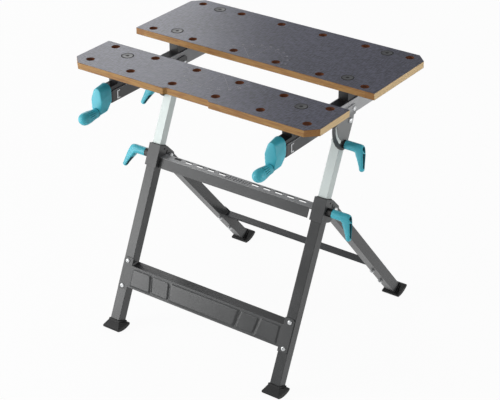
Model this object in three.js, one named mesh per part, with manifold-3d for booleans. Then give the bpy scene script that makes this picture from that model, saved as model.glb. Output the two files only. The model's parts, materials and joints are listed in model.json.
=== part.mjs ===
// Folding workbench: two clamping boards on a tilting head, a telescopic front frame and folding rear legs.
// Millimetres, +Z up, +X to the operator's right; the operator stands at -Y.

import * as THREE from "three";
import { mergeVertices } from "three/addons/utils/BufferGeometryUtils.js";
import { ConvexGeometry } from "three/addons/geometries/ConvexGeometry.js";
import Module from "manifold-3d";

const wasm = await Module();
wasm.setup();

// Fits
const GAP = 0.3;
const PIN_PLAY = 0.3;
const SLIDE_PLAY = 0.4;

// Stand: side spacing, leans and tubes; "along" is measured up a leg from the floor
const SIDE_X = 233.6;
const FRONT_LEAN = THREE.MathUtils.degToRad(24.05);
const REAR_LEAN = THREE.MathUtils.degToRad(40.6);
const LEG_SIZE = 25.6;
const LEG_WALL = 1.4;
const TUBE_WALL = 1.5;
const TUBE_REACH = 338;
const PIVOT_ALONG = 641.4;

// Feet: a sole of flats round an arc, a rim, a flare and a collar
const SOLE_RADIUS = 52;
const SOLE_SHIFT = 1.5;
const SOLE_WIDTH = 47;
const SOLE_FACETS = 9;
const LEAN_STEPS = 3;
const FOOT_RIM = 5;
const FOOT_WALL = 2.4;
const FOOT_FLARE = 17;
const FOOT_COLLAR = 4.5;
const LEG_START = 14;

// Leg brackets; ear points are [behind the leg's axis, below the bracket's top]
const BRACKET_SHEET = 3;
const BRACKET_TOP = 458.9;
const BRACKET_HEIGHT = 54;
const BUSH_HEIGHT = 9;
const BUSH_PROUD = 1.5;
const EAR_CORNER = [48, 15.5];
const EAR_FOOT = [27, 52];
const EAR_ROUND = 7;
const EAR_SLOT = [15.5, 17];
const EAR_SLOT_SIZE = [3.6, 15];
const EAR_HOLE = [4, 7.5];
const EAR_HOLE_RADIUS = 2.2;
const FOLD_PIVOT = [30.3, 22];

// Bolts and rivets
const BOLT_RADIUS = 4;
const BOLT_HEAD_RADIUS = 6.8;
const BOLT_HEAD_HEIGHT = 5.5;
const NUT_RADIUS = 6.7;
const NUT_HEIGHT = 6;
const RIVET_RADIUS = 3;
const RIVET_HEAD_RADIUS = 6;
const RIVET_HEAD_HEIGHT = 3;

// Clamp levers: a barrel, an elbow and a handle; rounds are [out, down, radius, half thickness]
const LEVER_BARREL_RADIUS = 10.3;
const LEVER_BARREL_LENGTH = 33;
const LEVER_ELBOW = [38, 0, 10.3, 8];
const LEVER_TIP = [52.4, 43, 4.8, 5];
const LEVER_EDGE = 2;
const LEVER_POCKET = [3.4, 7, 4];
const LEVER_GROOVE = [3.4, 32, 2.4];
const LEVER_BORE = 20;
const COLLAR_RADIUS = 10;
const HEIGHT_COLLAR = 14;
const TILT_COLLAR = 5.5;
const HEIGHT_LEVER_BELOW_TOP = 27.5;
const CLAMP_HEAD_RADIUS = 7;
const CLAMP_HEAD = 4;

// Tool tray, measured in the level frame of its front edge
const TRAY_SHEET = 1.8;
const TRAY_SETBACK = 8;
const TRAY_BELOW_TOP = 29;
const TRAY_APRON = 25;
const TRAY_DEPTH = 23.5;
const TRAY_HEM = 4;
const TRAY_SLOTS = 5;
const TRAY_SLOT_FIRST = 47;
const TRAY_SLOT_PITCH = 32.5;
const TRAY_SLOT = [20, 9];
const TRAY_SLOT_MARGIN = 3;
const TRAY_APRON_GAP = 12;
const TRAY_RIBS = 9;
const TRAY_RIB = [2, 14, 0.9];

// Braces
const BRACE_SHEET = 1.8;
const BRACE_LOW = 107.2;
const BRACE_HEIGHT = 53;
const BRACE_FLANGE = 25;
const BRACE_LIP = 6;
const BRACE_EAR_LOW = 9;
const BRACE_EAR_HIGH = 18;
const BRACE_EAR_ROUND = 4;
const BRACE_SIDE_GAP = 3.5;
const BRACE_RELIEF = 2;
const BRACE_OVERLAP = 28;
const REAR_BRACE_OVERLAP = 20;
const EMBOSS_DEPTH = 0.8;
const EMBOSS_MARGIN = 9;
const EMBOSS_HIGH = [102, 157];
const EMBOSS_LOW = [95, 149];
const REAR_BRACE_BELOW_PIVOT = 414;

// Tilting head, measured from the tilt pivot
const RAIL_ABOVE_PIVOT = 12;
const RAIL_WIDTH = 30;
const RAIL_HEIGHT = 27;
const RAIL_WALL = 2;
const RAIL_LIP = 9;
const RAIL_RISE = 7.3;
const RAIL_SETBACK = 20;
const RAIL_TAIL = 2.6;
const PLATE_SHEET = 2.5;
const PLATE_MARGIN = 15;
const PLATE_SLOT = 8.8;
const PLATE_SLOT_STEPS = 8;
const PLATE_PIVOT_RADIUS = 15;
const PLATE_RIVET = [9.3, 25.9];
const PLATE_FRONT_TAB = [-45, 24];
const PLATE_TAB_RADIUS = 10;
const LEVER_FROM_PIVOT = 54.5;

// Boards, their front edge measured from the tilt pivot and rows from each board's own front edge
const BOARD_FRONT = -267.7;
const BOARD_LENGTH = 650;
const BOARD_THICKNESS = 16;
const BOARD_ABOVE_RAIL = 40.2;
const FRONT_BOARD_DEPTH = 136;
const REAR_BOARD_DEPTH = 237.7;
const JAW_GAP = 99.3;
const CORNER_CHAMFER = 24.5;
const RECESS = [122, 6];
const DOG_HOLE_RADIUS = 10;
const DOG_HOLES = 6;
const DOG_HOLE_END = 36;
const FRONT_HOLE_MARGINS = [29.8, 18.8];
const REAR_HOLE_MARGINS = [19.7, 24.4];
const FRONT_BOLT_MARGIN = 43.7;
const REAR_BOLT_MARGINS = [39.1, 30.4];
const FRONT_HOLE_ROWS = [FRONT_HOLE_MARGINS[0], FRONT_BOARD_DEPTH - FRONT_HOLE_MARGINS[1]];
const REAR_HOLE_ROWS = [REAR_HOLE_MARGINS[0], REAR_BOARD_DEPTH - REAR_HOLE_MARGINS[1]];
const FRONT_BOLT_ROW = FRONT_BOARD_DEPTH - FRONT_BOLT_MARGIN;
const REAR_BOLT_ROWS = [REAR_BOLT_MARGINS[0], REAR_BOARD_DEPTH - REAR_BOLT_MARGINS[1]];
const DISC_RADIUS = 14.7;
const DISC_THICKNESS = 3;
const BOARD_BOLT_RADIUS = 4;
const BOARD_BOLT_REACH = 20;

// Jaw blocks and carriages
const POST_WIDTH = 25;
const BLOCK_PLATE = 5.7;
const BLOCK_FRONT_POST = [26, 33];
const POST_HALF = 12.7;
const CARRIAGE_POST_HALF = 15.5;
const BLOCK_SADDLE = 10;
const CARRIAGE_SADDLE = 6.7;
const CARRIAGE_INSET = [-28, 21];

// Spindles, cranks and knobs, measured from the spindle's axis
const SPINDLE_RADIUS = 5;
const SPINDLE_ENGAGED = 60;
const SPINDLE_COLLAR = [8, 3.6];
const CRANK_REAR_DISCS = [[0, 16, 16.5], [0, -2.5, 16.5], [11, -20.5, 14.5]];
const CRANK_FRONT_DISCS = [[30.8, 19, 10], [33, -0.5, 15.3], [35.2, -24.5, 12], [22, -24.5, 12]];
const CRANK_THROW = 28;
const CRANK_BORE = 24;
const KNOB_LENGTH = 53;
const KNOB_RADIUS = 14.4;
const KNOB_NECK = 11.2;
const KNOB_STANDOFF = 1.5;
const KNOB_PIN_RADIUS = 4;
const KNOB_PIN_LENGTH = 36;

// Roundness
const ARC_STEPS = 8;
const HOLE_SIDES = 18;
const HULL_SIDES = 20;
const DISC_SIDES = 24;
const SIDES_ROUND = 12;

// Sizes that follow from the ones above
const TUBE_SIZE = LEG_SIZE - 2 * (LEG_WALL + SLIDE_PLAY);
const LEG_HALF = LEG_SIZE / 2;
const TUBE_HALF = TUBE_SIZE / 2;
const BRACKET_INNER = LEG_HALF + GAP;
const BRACKET_HALF = BRACKET_INNER + BRACKET_SHEET;
const HEIGHT_LEVER_ALONG = BRACKET_TOP - HEIGHT_LEVER_BELOW_TOP;
const SOLE_STEP = (REAR_LEAN - FRONT_LEAN) / LEAN_STEPS;
const DOG_HOLE_PITCH = (BOARD_LENGTH - 2 * DOG_HOLE_END) / (DOG_HOLES - 1);
const RAIL_HALF = RAIL_WIDTH / 2;
const RAIL_TOP = RAIL_ABOVE_PIVOT + RAIL_HEIGHT;
const SPINDLE_HEIGHT = RAIL_ABOVE_PIVOT + RAIL_HEIGHT / 2;
const BOARD_UNDER = RAIL_TOP + BOARD_ABOVE_RAIL;
const BOARD_TOP = BOARD_UNDER + BOARD_THICKNESS;
const REAR_BOARD_FRONT = BOARD_FRONT + FRONT_BOARD_DEPTH + JAW_GAP;
const REAR_BOARD_REAR = REAR_BOARD_FRONT + REAR_BOARD_DEPTH;
const RAIL_FRONT = BOARD_FRONT + RAIL_SETBACK;
const BLOCK_REAR = BOARD_FRONT + FRONT_BOLT_ROW + POST_HALF;
const CARRIAGE_FRONT = REAR_BOARD_FRONT + CARRIAGE_INSET[0];
const CARRIAGE_REAR = REAR_BOARD_REAR - CARRIAGE_INSET[1];
const CRANK_FACE = CRANK_FRONT_DISCS[2][0];
const CRANK_REAR = RAIL_FRONT - BLOCK_PLATE - 3 * GAP;
const PLATE_INNER = TUBE_HALF + SLIDE_PLAY;
const PLATE_OUTER = PLATE_INNER + PLATE_SHEET;
const SIDES = [["L", -1], ["R", 1]];

// Finishes
function finish(color, roughness, metalness) {
  return new THREE.MeshStandardMaterial({ color, roughness, metalness });
}
const laminate = finish(0x6e6e76, 0.7, 0);
const framePaint = finish(0x4c4e50, 0.5, 0.3);
const brightTube = finish(0xd8dbd8, 0.35, 0.9);
const teal = finish(0x3fa9b8, 0.45, 0);
const blackPlastic = finish(0x17181a, 0.6, 0);
const zinc = finish(0xc8ccce, 0.3, 1);
const darkDisc = finish(0x3a3b3f, 0.5, 0);

// A section in (y, z) is carried along X, and a section in (x, z) along -Y.
const X = new THREE.Vector3(1, 0, 0);
const Y = new THREE.Vector3(0, 1, 0);
const Z = new THREE.Vector3(0, 0, 1);
const ALONG_X = new THREE.Matrix4().makeBasis(Y, Z, X);
const ALONG_Y = new THREE.Matrix4().makeBasis(X, Z, Y.clone().negate());

// Solids

/** Turn a closed geometry into a solid that can be joined and cut. */
function solid(geometry) {
  geometry.deleteAttribute("normal");
  geometry.deleteAttribute("uv");
  const merged = mergeVertices(geometry, 1e-4);
  const corners = merged.index.array;
  const kept = [];
  for (let i = 0; i < corners.length; i += 3) {
    const [a, b, c] = [corners[i], corners[i + 1], corners[i + 2]];
    if (a !== b && b !== c && c !== a) kept.push(a, b, c);
  }
  const vertProperties = new Float32Array(merged.attributes.position.array);
  const triVerts = new Uint32Array(kept);
  return new wasm.Manifold(new wasm.Mesh({ numProp: 3, vertProperties, triVerts }));
}

function join(first, ...others) {
  return others.reduce((body, other) => body.add(other), first);
}

function cut(first, ...others) {
  return others.reduce((body, other) => body.subtract(other), first);
}

/** Add a solid to a frame as a named piece. */
function piece(parent, name, body, material) {
  const { vertProperties, triVerts } = body.getMesh();
  const geometry = new THREE.BufferGeometry();
  geometry.setAttribute("position", new THREE.BufferAttribute(vertProperties, 3));
  geometry.setIndex(new THREE.BufferAttribute(triVerts, 1));
  geometry.computeVertexNormals();
  const mesh = new THREE.Mesh(geometry, material);
  mesh.name = name;
  parent.add(mesh);
}

function frameAt(parent, x, y, z, turnX = 0) {
  const frame = new THREE.Group();
  frame.position.set(x, y, z);
  frame.rotation.x = turnX;
  parent.add(frame);
  return frame;
}

/** A frame whose +X points out of the bench on either side. */
function outwardAt(parent, sign, y, z) {
  const frame = frameAt(parent, 0, y, z);
  frame.rotation.z = sign > 0 ? 0 : Math.PI;
  return frame;
}

function block(x0, x1, y0, y1, z0, z1) {
  const box = new THREE.BoxGeometry(x1 - x0, y1 - y0, z1 - z0);
  box.translate((x0 + x1) / 2, (y0 + y1) / 2, (z0 + z1) / 2);
  return solid(box);
}

function extrude(shape, depth, bevel) {
  return new THREE.ExtrudeGeometry(shape, {
    depth,
    curveSegments: ARC_STEPS,
    bevelEnabled: bevel > 0,
    bevelSize: bevel,
    bevelThickness: bevel,
    bevelOffset: -bevel,
    bevelSegments: 1,
  });
}

/** Carry a section in (y, z) along X. */
function prismX(shape, x0, x1) {
  const geometry = extrude(shape, x1 - x0, 0);
  geometry.translate(0, 0, x0);
  return solid(geometry.applyMatrix4(ALONG_X));
}

/** Carry a section in (x, z) along Y, with rounded edges if a bevel is given. */
function prismY(shape, y0, y1, bevel = 0) {
  const geometry = extrude(shape, y1 - y0 - 2 * bevel, bevel);
  geometry.translate(0, 0, bevel - y1);
  return solid(geometry.applyMatrix4(ALONG_Y));
}

/** Carry a section in (x, y) along Z. */
function prismZ(shape, z0, z1) {
  const geometry = extrude(shape, z1 - z0, 0);
  geometry.translate(0, 0, z0);
  return solid(geometry);
}

function rodX(radius, x0, x1, y = 0, z = 0, sides = SIDES_ROUND) {
  const rod = new THREE.CylinderGeometry(radius, radius, x1 - x0, sides);
  rod.rotateZ(-Math.PI / 2);
  rod.translate((x0 + x1) / 2, y, z);
  return solid(rod);
}

function rodY(radius, y0, y1, x = 0, z = 0, sides = SIDES_ROUND) {
  const rod = new THREE.CylinderGeometry(radius, radius, y1 - y0, sides);
  rod.translate(x, (y0 + y1) / 2, z);
  return solid(rod);
}

function rodZ(radius, z0, z1, x = 0, y = 0, sides = SIDES_ROUND) {
  const rod = new THREE.CylinderGeometry(radius, radius, z1 - z0, sides);
  rod.rotateX(Math.PI / 2);
  rod.translate(x, y, (z0 + z1) / 2);
  return solid(rod);
}

/** The tight skin round a set of points. */
function skin(points) {
  return solid(new ConvexGeometry(points));
}

/** A ring of points in a plane across Y. */
function ringAcrossY(x, y, z, radius) {
  return Array.from({ length: HULL_SIDES }, (_, i) => {
    const angle = (2 * Math.PI * i) / HULL_SIDES;
    return new THREE.Vector3(x + radius * Math.cos(angle), y, z + radius * Math.sin(angle));
  });
}

/** A ring of points about the X axis. */
function ringAcrossX(x, radius) {
  return Array.from({ length: HULL_SIDES }, (_, i) => {
    const angle = (2 * Math.PI * i) / HULL_SIDES;
    return new THREE.Vector3(x, radius * Math.cos(angle), radius * Math.sin(angle));
  });
}

/** Turn a profile of [radius, height] points about Y. */
function turned(profile) {
  return new THREE.LatheGeometry(profile.map(([radius, height]) => point(radius, height)), HOLE_SIDES);
}

// Outlines

function point(x, y) {
  return new THREE.Vector2(x, y);
}

function outline(points) {
  return new THREE.Shape(points.map(([x, y]) => point(x, y)));
}

function roundHole(x, y, radius, sides = SIDES_ROUND) {
  const rim = new THREE.EllipseCurve(x, y, radius, radius, 0, 2 * Math.PI, true);
  return new THREE.Path(rim.getPoints(sides));
}

/** The tight outline round a set of [x, y, radius] circles. */
function outlineRound(circles) {
  const points = circles.flatMap(([x, y, radius]) =>
    Array.from({ length: HULL_SIDES }, (_, i) => {
      const angle = (2 * Math.PI * i) / HULL_SIDES;
      return [x + radius * Math.cos(angle), y + radius * Math.sin(angle)];
    }));
  const turn = (o, a, b) => (a[0] - o[0]) * (b[1] - o[1]) - (a[1] - o[1]) * (b[0] - o[0]);
  const chainOf = (ordered) => {
    const chain = [];
    for (const next of ordered) {
      while (chain.length > 1 && turn(chain.at(-2), chain.at(-1), next) <= 1e-3) chain.pop();
      chain.push(next);
    }
    return chain.slice(0, -1);
  };
  points.sort((a, b) => a[0] - b[0] || a[1] - b[1]);
  const under = chainOf(points);
  return outline([...under, ...chainOf(points.reverse())]);
}

/** The section of a bent sheet: an edge line, thickened to its left. */
function sheetSection(line, thickness) {
  const along = line.slice(1).map((p, i) => point(p[0] - line[i][0], p[1] - line[i][1]).normalize());
  const left = along.map((d) => point(-d.y, d.x));
  const inner = line.map(([x, y], i) => {
    const a = left[Math.max(i - 1, 0)];
    const b = left[Math.min(i, left.length - 1)];
    const reach = thickness / (1 + a.dot(b));
    return [x + (a.x + b.x) * reach, y + (a.y + b.y) * reach];
  });
  return outline([...line, ...inner.reverse()]);
}

/** A square tube along Z whose top is rounded about (0, 0, top). */
function roundedTube(size, wall, z0, top) {
  const half = size / 2;
  const inner = half - wall;
  const side = new THREE.Shape();
  side.moveTo(-half, z0);
  side.lineTo(half, z0);
  side.lineTo(half, top);
  side.absarc(0, top, half, 0, Math.PI, false);
  return cut(prismX(side, -half, half), block(-inner, inner, -inner, inner, z0 - 1, top + size));
}

// Fasteners

/** A low dome that faces +X. */
function domedHead(seat, radius, height) {
  const dome = turned([
    [0, 0], [radius, 0], [radius, 0.35 * height], [0.85 * radius, 0.7 * height],
    [0.5 * radius, 0.95 * height],
    [0, height],
  ]);
  dome.rotateZ(-Math.PI / 2);
  dome.translate(seat, 0, 0);
  return solid(dome);
}

/** A bolt along X, from a nut inside to a domed head outside, that grips from inner to outer. */
function throughBolt(inner, outer) {
  const shank = rodX(BOLT_RADIUS, inner - NUT_HEIGHT - 1, outer + 1);
  const nut = rodX(NUT_RADIUS, inner - NUT_HEIGHT, inner - GAP, 0, 0, 6);
  return join(shank, nut, domedHead(outer + GAP, BOLT_HEAD_RADIUS, BOLT_HEAD_HEIGHT));
}

/** A flush board bolt: a wide disc in the board's face, with a shank into the block below. */
function boardBolt() {
  const disc = rodZ(DISC_RADIUS, BOARD_TOP - DISC_THICKNESS, BOARD_TOP, 0, 0, DISC_SIDES);
  return join(disc, rodZ(BOARD_BOLT_RADIUS, BOARD_UNDER - BOARD_BOLT_REACH, BOARD_TOP - 1));
}

function boardBoltHole(x, y) {
  const seat = rodZ(DISC_RADIUS + GAP, BOARD_TOP - DISC_THICKNESS - GAP, BOARD_TOP + 1, x, y, DISC_SIDES);
  return join(seat, boltShaft(x, y));
}

/** The clearance that a board bolt's shank needs in a board and in the post below it. */
function boltShaft(x, y) {
  const low = BOARD_UNDER - BOARD_BOLT_REACH - 2 * GAP;
  return rodZ(BOARD_BOLT_RADIUS + PIN_PLAY, low, BOARD_TOP, x, y);
}

// Clamp levers

/** A rounded lump of a lever, with softened edges on both sides. */
function leverRound([out, down, radius, half]) {
  return [-1, 1].flatMap((side) => [
    ...ringAcrossY(out, side * half, -down, radius - LEVER_EDGE),
    ...ringAcrossY(out, side * (half - LEVER_EDGE), -down, radius),
  ]);
}

/** A lever with its barrel along +X and a handle that hangs down and leans outwards. */
function lever() {
  const barrel = rodX(LEVER_BARREL_RADIUS, 0, LEVER_BARREL_LENGTH, 0, 0, HULL_SIDES);
  const elbow = leverRound(LEVER_ELBOW);
  const knee = skin([...ringAcrossX(LEVER_BARREL_LENGTH - 1, LEVER_BARREL_RADIUS), ...elbow]);
  const handle = skin([...elbow, ...leverRound(LEVER_TIP)]);
  const bore = rodX(BOLT_RADIUS + PIN_PLAY, -1, LEVER_BORE);
  const end = LEVER_ELBOW[0] + LEVER_ELBOW[2];
  const [pocketWide, pocketTall, pocketDeep] = LEVER_POCKET;
  const pocket = new THREE.CylinderGeometry(1, 1, end, SIDES_ROUND);
  pocket.rotateZ(-Math.PI / 2);
  pocket.scale(1, pocketWide, pocketTall);
  pocket.translate(end - pocketDeep + end / 2, 0, 0);
  // The groove runs down the outer edge, which is tangent to the elbow and the tip.
  const drop = LEVER_TIP[1] - LEVER_ELBOW[1];
  const lean = Math.atan2(LEVER_TIP[0] - LEVER_ELBOW[0], drop);
  const taper = Math.asin((LEVER_ELBOW[2] - LEVER_TIP[2]) / Math.hypot(LEVER_TIP[0] - LEVER_ELBOW[0], drop));
  const [grooveWide, grooveLong, grooveDeep] = LEVER_GROOVE;
  const groove = new THREE.BoxGeometry(2 * grooveDeep, grooveWide, grooveLong);
  groove.translate(LEVER_TIP[2], 0, grooveLong / 2);
  groove.rotateY(taper - lean);
  groove.translate(LEVER_TIP[0], 0, -LEVER_TIP[1]);
  return cut(join(barrel, knee, handle), bore, solid(pocket), solid(groove));
}

function collar(length) {
  return cut(rodX(COLLAR_RADIUS, 0, length), rodX(BOLT_RADIUS + PIN_PLAY, -1, length + 1));
}

// Feet

/** The centre of the sole's arc in the frame of a front leg. */
function soleCentre() {
  const sin = Math.sin(FRONT_LEAN);
  const cos = Math.cos(FRONT_LEAN);
  return [SOLE_SHIFT * cos - SOLE_RADIUS * sin, SOLE_SHIFT * sin + SOLE_RADIUS * cos];
}

/** One foot for every leg: the sole's flats are spaced so that either lean stands on one of them. */
function foot(mirror) {
  const [centreY, centreZ] = soleCentre();
  const corner = SOLE_RADIUS / Math.cos(SOLE_STEP / 2);
  const section = [];
  for (let i = 0; i <= SOLE_FACETS; i += 1) {
    const angle = FRONT_LEAN + (i - SOLE_FACETS / 2) * SOLE_STEP;
    section.push([centreY + corner * Math.sin(angle), centreZ - corner * Math.cos(angle)]);
  }
  for (const [y, z] of [section[0], section[SOLE_FACETS]]) {
    section.push([y - FOOT_RIM * Math.sin(FRONT_LEAN), z + FOOT_RIM * Math.cos(FRONT_LEAN)]);
  }
  const half = SOLE_WIDTH / 2;
  const cup = BRACKET_INNER + FOOT_WALL;
  const points = [];
  for (const sign of [-1, 1]) {
    for (const [y, z] of section) points.push(new THREE.Vector3(sign * half, mirror * y, z));
    for (const y of [-cup, cup]) points.push(new THREE.Vector3(sign * cup, y, FOOT_FLARE));
  }
  const flare = skin(points);
  const sleeve = block(-cup, cup, -cup, cup, FOOT_FLARE - 1, FOOT_FLARE + FOOT_COLLAR);
  const bore = [-BRACKET_INNER, BRACKET_INNER];
  const socket = block(...bore, ...bore, LEG_START - GAP, 2 * LEG_START);
  return cut(join(flare, sleeve), socket);
}

// Front frame

function frontLeg(sign) {
  const top = BRACKET_TOP - BUSH_HEIGHT - GAP;
  const inner = LEG_HALF - LEG_WALL;
  const tube = block(-LEG_HALF, LEG_HALF, -LEG_HALF, LEG_HALF, LEG_START, top);
  const hollow = block(-inner, inner, -inner, inner, LEG_START - 1, top + 1);
  return cut(tube, hollow, leverHole(sign));
}

/** The hole for a height screw, on the outer side only. */
function leverHole(sign) {
  const [from, to] = sign > 0 ? [0, LEG_SIZE] : [-LEG_SIZE, 0];
  return rodX(BOLT_RADIUS + PIN_PLAY, from, to, 0, HEIGHT_LEVER_ALONG);
}

function guideBush() {
  const inner = TUBE_HALF + GAP;
  const wide = [-LEG_HALF, LEG_HALF];
  const ring = block(...wide, ...wide, BRACKET_TOP - BUSH_HEIGHT, BRACKET_TOP + BUSH_PROUD);
  return cut(ring, block(-inner, inner, -inner, inner, 0, BRACKET_TOP + BUSH_HEIGHT));
}

/** A folded sheet: a web on the leg's front face and two ears that carry the rear leg behind it. */
function legBracket(sign) {
  const low = BRACKET_TOP - BRACKET_HEIGHT;
  const side = outlineRound([
    [1 - BRACKET_HALF, low + 1, 1],
    [1 - BRACKET_HALF, BRACKET_TOP - 1, 1],
    [LEG_HALF, BRACKET_TOP - 1, 1],
    [EAR_CORNER[0] - EAR_ROUND, BRACKET_TOP - EAR_CORNER[1] - EAR_ROUND / 2, EAR_ROUND],
    [EAR_FOOT[0] - EAR_ROUND, BRACKET_TOP - EAR_FOOT[1] + EAR_ROUND, EAR_ROUND],
  ]);
  side.holes.push(roundHole(FOLD_PIVOT[0], BRACKET_TOP - FOLD_PIVOT[1], BOLT_RADIUS + PIN_PLAY));
  side.holes.push(roundHole(EAR_HOLE[0], BRACKET_TOP - EAR_HOLE[1], EAR_HOLE_RADIUS));
  const right = prismX(side, BRACKET_INNER, BRACKET_HALF);
  const left = prismX(side, -BRACKET_HALF, -BRACKET_INNER);
  const web = block(-BRACKET_HALF, BRACKET_HALF, -BRACKET_HALF, -BRACKET_INNER, low, BRACKET_TOP);
  const slotY = EAR_SLOT[0];
  const slotZ = BRACKET_TOP - EAR_SLOT[1];
  const slot = block(-LEG_SIZE, LEG_SIZE, slotY - EAR_SLOT_SIZE[0] / 2, slotY + EAR_SLOT_SIZE[0] / 2,
    slotZ - EAR_SLOT_SIZE[1] / 2, slotZ + EAR_SLOT_SIZE[1] / 2);
  return cut(join(right, left, web), slot, leverHole(sign));
}

/** A level deck between the brackets, with an apron parallel to the legs and a hem behind. */
function toolTray() {
  const level = [Math.cos(FRONT_LEAN), Math.sin(FRONT_LEAN)];
  const half = SIDE_X - BRACKET_HALF - GAP;
  const apronY = TRAY_SETBACK - LEG_HALF;
  const brow = [apronY, BRACKET_TOP - TRAY_BELOW_TOP];
  const heel = [brow[0] + TRAY_DEPTH * level[0], brow[1] + TRAY_DEPTH * level[1]];
  const hem = [heel[0] + TRAY_HEM * level[1], heel[1] - TRAY_HEM * level[0]];
  const section = sheetSection([hem, heel, brow, [apronY, brow[1] - TRAY_APRON]], TRAY_SHEET);
  let tray = prismX(section, -half, half);
  tray = cut(tray, block(half - TRAY_APRON_GAP, half + 1, apronY - 1, apronY + 2 * TRAY_SHEET,
    brow[1] - 2 * TRAY_APRON, brow[1] - 2 * TRAY_SHEET));
  const deckCut = (x, y0, [long, wide], depth) => {
    const tool = new THREE.BoxGeometry(long, wide, depth + 1);
    tool.translate(x, y0 + wide / 2, (1 - depth) / 2);
    tool.rotateX(FRONT_LEAN);
    tool.translate(0, brow[0], brow[1]);
    tray = cut(tray, solid(tool));
  };
  const slotY = TRAY_DEPTH - TRAY_SLOT_MARGIN - TRAY_SLOT[1];
  for (let i = 0; i < TRAY_SLOTS; i += 1) {
    const x = TRAY_SLOT_FIRST + i * TRAY_SLOT_PITCH;
    deckCut(x, slotY, TRAY_SLOT, 2 * TRAY_SHEET);
    deckCut(-x, slotY, TRAY_SLOT, 2 * TRAY_SHEET);
  }
  const [ribWide, ribLong, ribDeep] = TRAY_RIB;
  const ribSpan = TRAY_SLOT_FIRST - TRAY_SLOT[0] / 2 - 2 * TRAY_SLOT_MARGIN;
  for (let i = 0; i < TRAY_RIBS; i += 1) {
    const x = ribSpan * ((2 * i) / (TRAY_RIBS - 1) - 1);
    deckCut(x, (TRAY_DEPTH - ribLong) / 2, [ribWide, ribLong], ribDeep);
  }
  return tray;
}

/** A pressed brace on one face of two legs, in their leaning frame; face is -1 for front and 1 for rear. */
function brace(low, lean, face, overlap) {
  const high = low + BRACE_HEIGHT;
  const skin = face * (BRACKET_INNER + BRACE_SHEET);
  const half = SIDE_X - LEG_HALF - BRACE_SIDE_GAP;
  const inwards = [-face * Math.cos(lean), Math.sin(lean)];
  const section = sheetSection([
    [skin + BRACE_LIP * inwards[0], low + BRACE_LIP * inwards[1]], [skin, low], [skin, high],
    [skin + BRACE_FLANGE * inwards[0], high + BRACE_FLANGE * inwards[1]],
  ], face * BRACE_SHEET);
  const earIn = half + BRACE_RELIEF;
  const earOut = half + overlap;
  const earMid = earOut - BRACE_EAR_ROUND;
  const foot = low - BRACE_EAR_LOW;
  const crown = high + BRACE_EAR_HIGH;
  const rightEnd = [[earIn, low], [earIn, foot], [earMid, foot], [earOut, foot + BRACE_EAR_ROUND],
    [earOut, crown - BRACE_EAR_ROUND], [earMid, crown], [earIn, crown], [earIn, high]];
  const leftEnd = rightEnd.map(([x, z]) => [-x, z]).reverse();
  const [from, to] = face > 0 ? [skin - BRACE_SHEET, skin] : [skin, skin + BRACE_SHEET];
  const panel = prismY(outline([...rightEnd, ...leftEnd]), from, to);
  let pressed = join(prismX(section, -half, half), panel);
  const depth = skin - face * EMBOSS_DEPTH;
  for (const sign of [-1, 1]) {
    const field = outline([
      [sign * EMBOSS_HIGH[0], high - EMBOSS_MARGIN], [sign * EMBOSS_HIGH[1], high - EMBOSS_MARGIN],
      [sign * EMBOSS_LOW[1], low + EMBOSS_MARGIN], [sign * EMBOSS_LOW[0], low + EMBOSS_MARGIN],
    ]);
    const recess = face > 0 ? prismY(field, depth, skin + 1) : prismY(field, skin - 1, depth);
    pressed = cut(pressed, recess);
  }
  return pressed;
}

// Telescopic tubes and the tilting head

function innerTube() {
  const tube = roundedTube(TUBE_SIZE, TUBE_WALL, -TUBE_REACH, 0);
  const hole = BOLT_RADIUS + PIN_PLAY;
  const clampHole = rodX(hole, -TUBE_SIZE, TUBE_SIZE, 0, -LEVER_FROM_PIVOT);
  return cut(tube, rodX(hole, -TUBE_SIZE, TUBE_SIZE), clampHole);
}

/** Give a plate outline in (y, z) the joggle that takes it from the tube's face to the rail's face. */
function joggledPlate(shape, sign) {
  const seat = RAIL_HALF + GAP;
  const offset = Math.abs(seat - PLATE_INNER);
  const high = RAIL_ABOVE_PIVOT - GAP;
  const low = high - offset - GAP;
  const far = 2 * (LEVER_FROM_PIVOT + PLATE_MARGIN);
  const bends = [[PLATE_INNER, -far], [PLATE_INNER, low], [seat, high], [seat, far]];
  const line = bends.map(([x, z]) => [sign * x, z]);
  const joggle = prismY(sheetSection(line, -sign * PLATE_SHEET), -far, far);
  return prismX(shape, -RAIL_WIDTH, RAIL_WIDTH).intersect(joggle);
}

/** A point on the tilt slot's arc; the angle runs down from the front. */
function onArc(radius, angle) {
  return [-radius * Math.cos(angle), -radius * Math.sin(angle)];
}

/** The slotted outer plate that the tilt lever clamps to the tube. */
function tiltPlate(sign) {
  const lowest = Math.PI / 2 - FRONT_LEAN;
  const angles = Array.from({ length: PLATE_SLOT_STEPS + 1 }, (_, i) => (lowest * i) / PLATE_SLOT_STEPS);
  const rim = angles.map((angle) => [...onArc(LEVER_FROM_PIVOT, angle), PLATE_MARGIN]);
  const shape = outlineRound([
    ...rim, [0, 0, PLATE_PIVOT_RADIUS], [...PLATE_RIVET, PLATE_TAB_RADIUS],
    [...PLATE_FRONT_TAB, PLATE_TAB_RADIUS],
  ]);
  const slot = new THREE.Path();
  const half = PLATE_SLOT / 2;
  slot.absarc(0, 0, LEVER_FROM_PIVOT + half, Math.PI, Math.PI + lowest, false);
  slot.absarc(...onArc(LEVER_FROM_PIVOT, lowest), half, Math.PI + lowest, 2 * Math.PI + lowest, false);
  slot.absarc(0, 0, LEVER_FROM_PIVOT - half, Math.PI + lowest, Math.PI, true);
  slot.absarc(...onArc(LEVER_FROM_PIVOT, 0), half, 0, Math.PI, false);
  shape.holes.push(slot);
  shape.holes.push(roundHole(0, 0, BOLT_RADIUS + PIN_PLAY));
  shape.holes.push(roundHole(...PLATE_RIVET, RIVET_RADIUS + PIN_PLAY));
  return joggledPlate(shape, sign);
}

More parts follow.
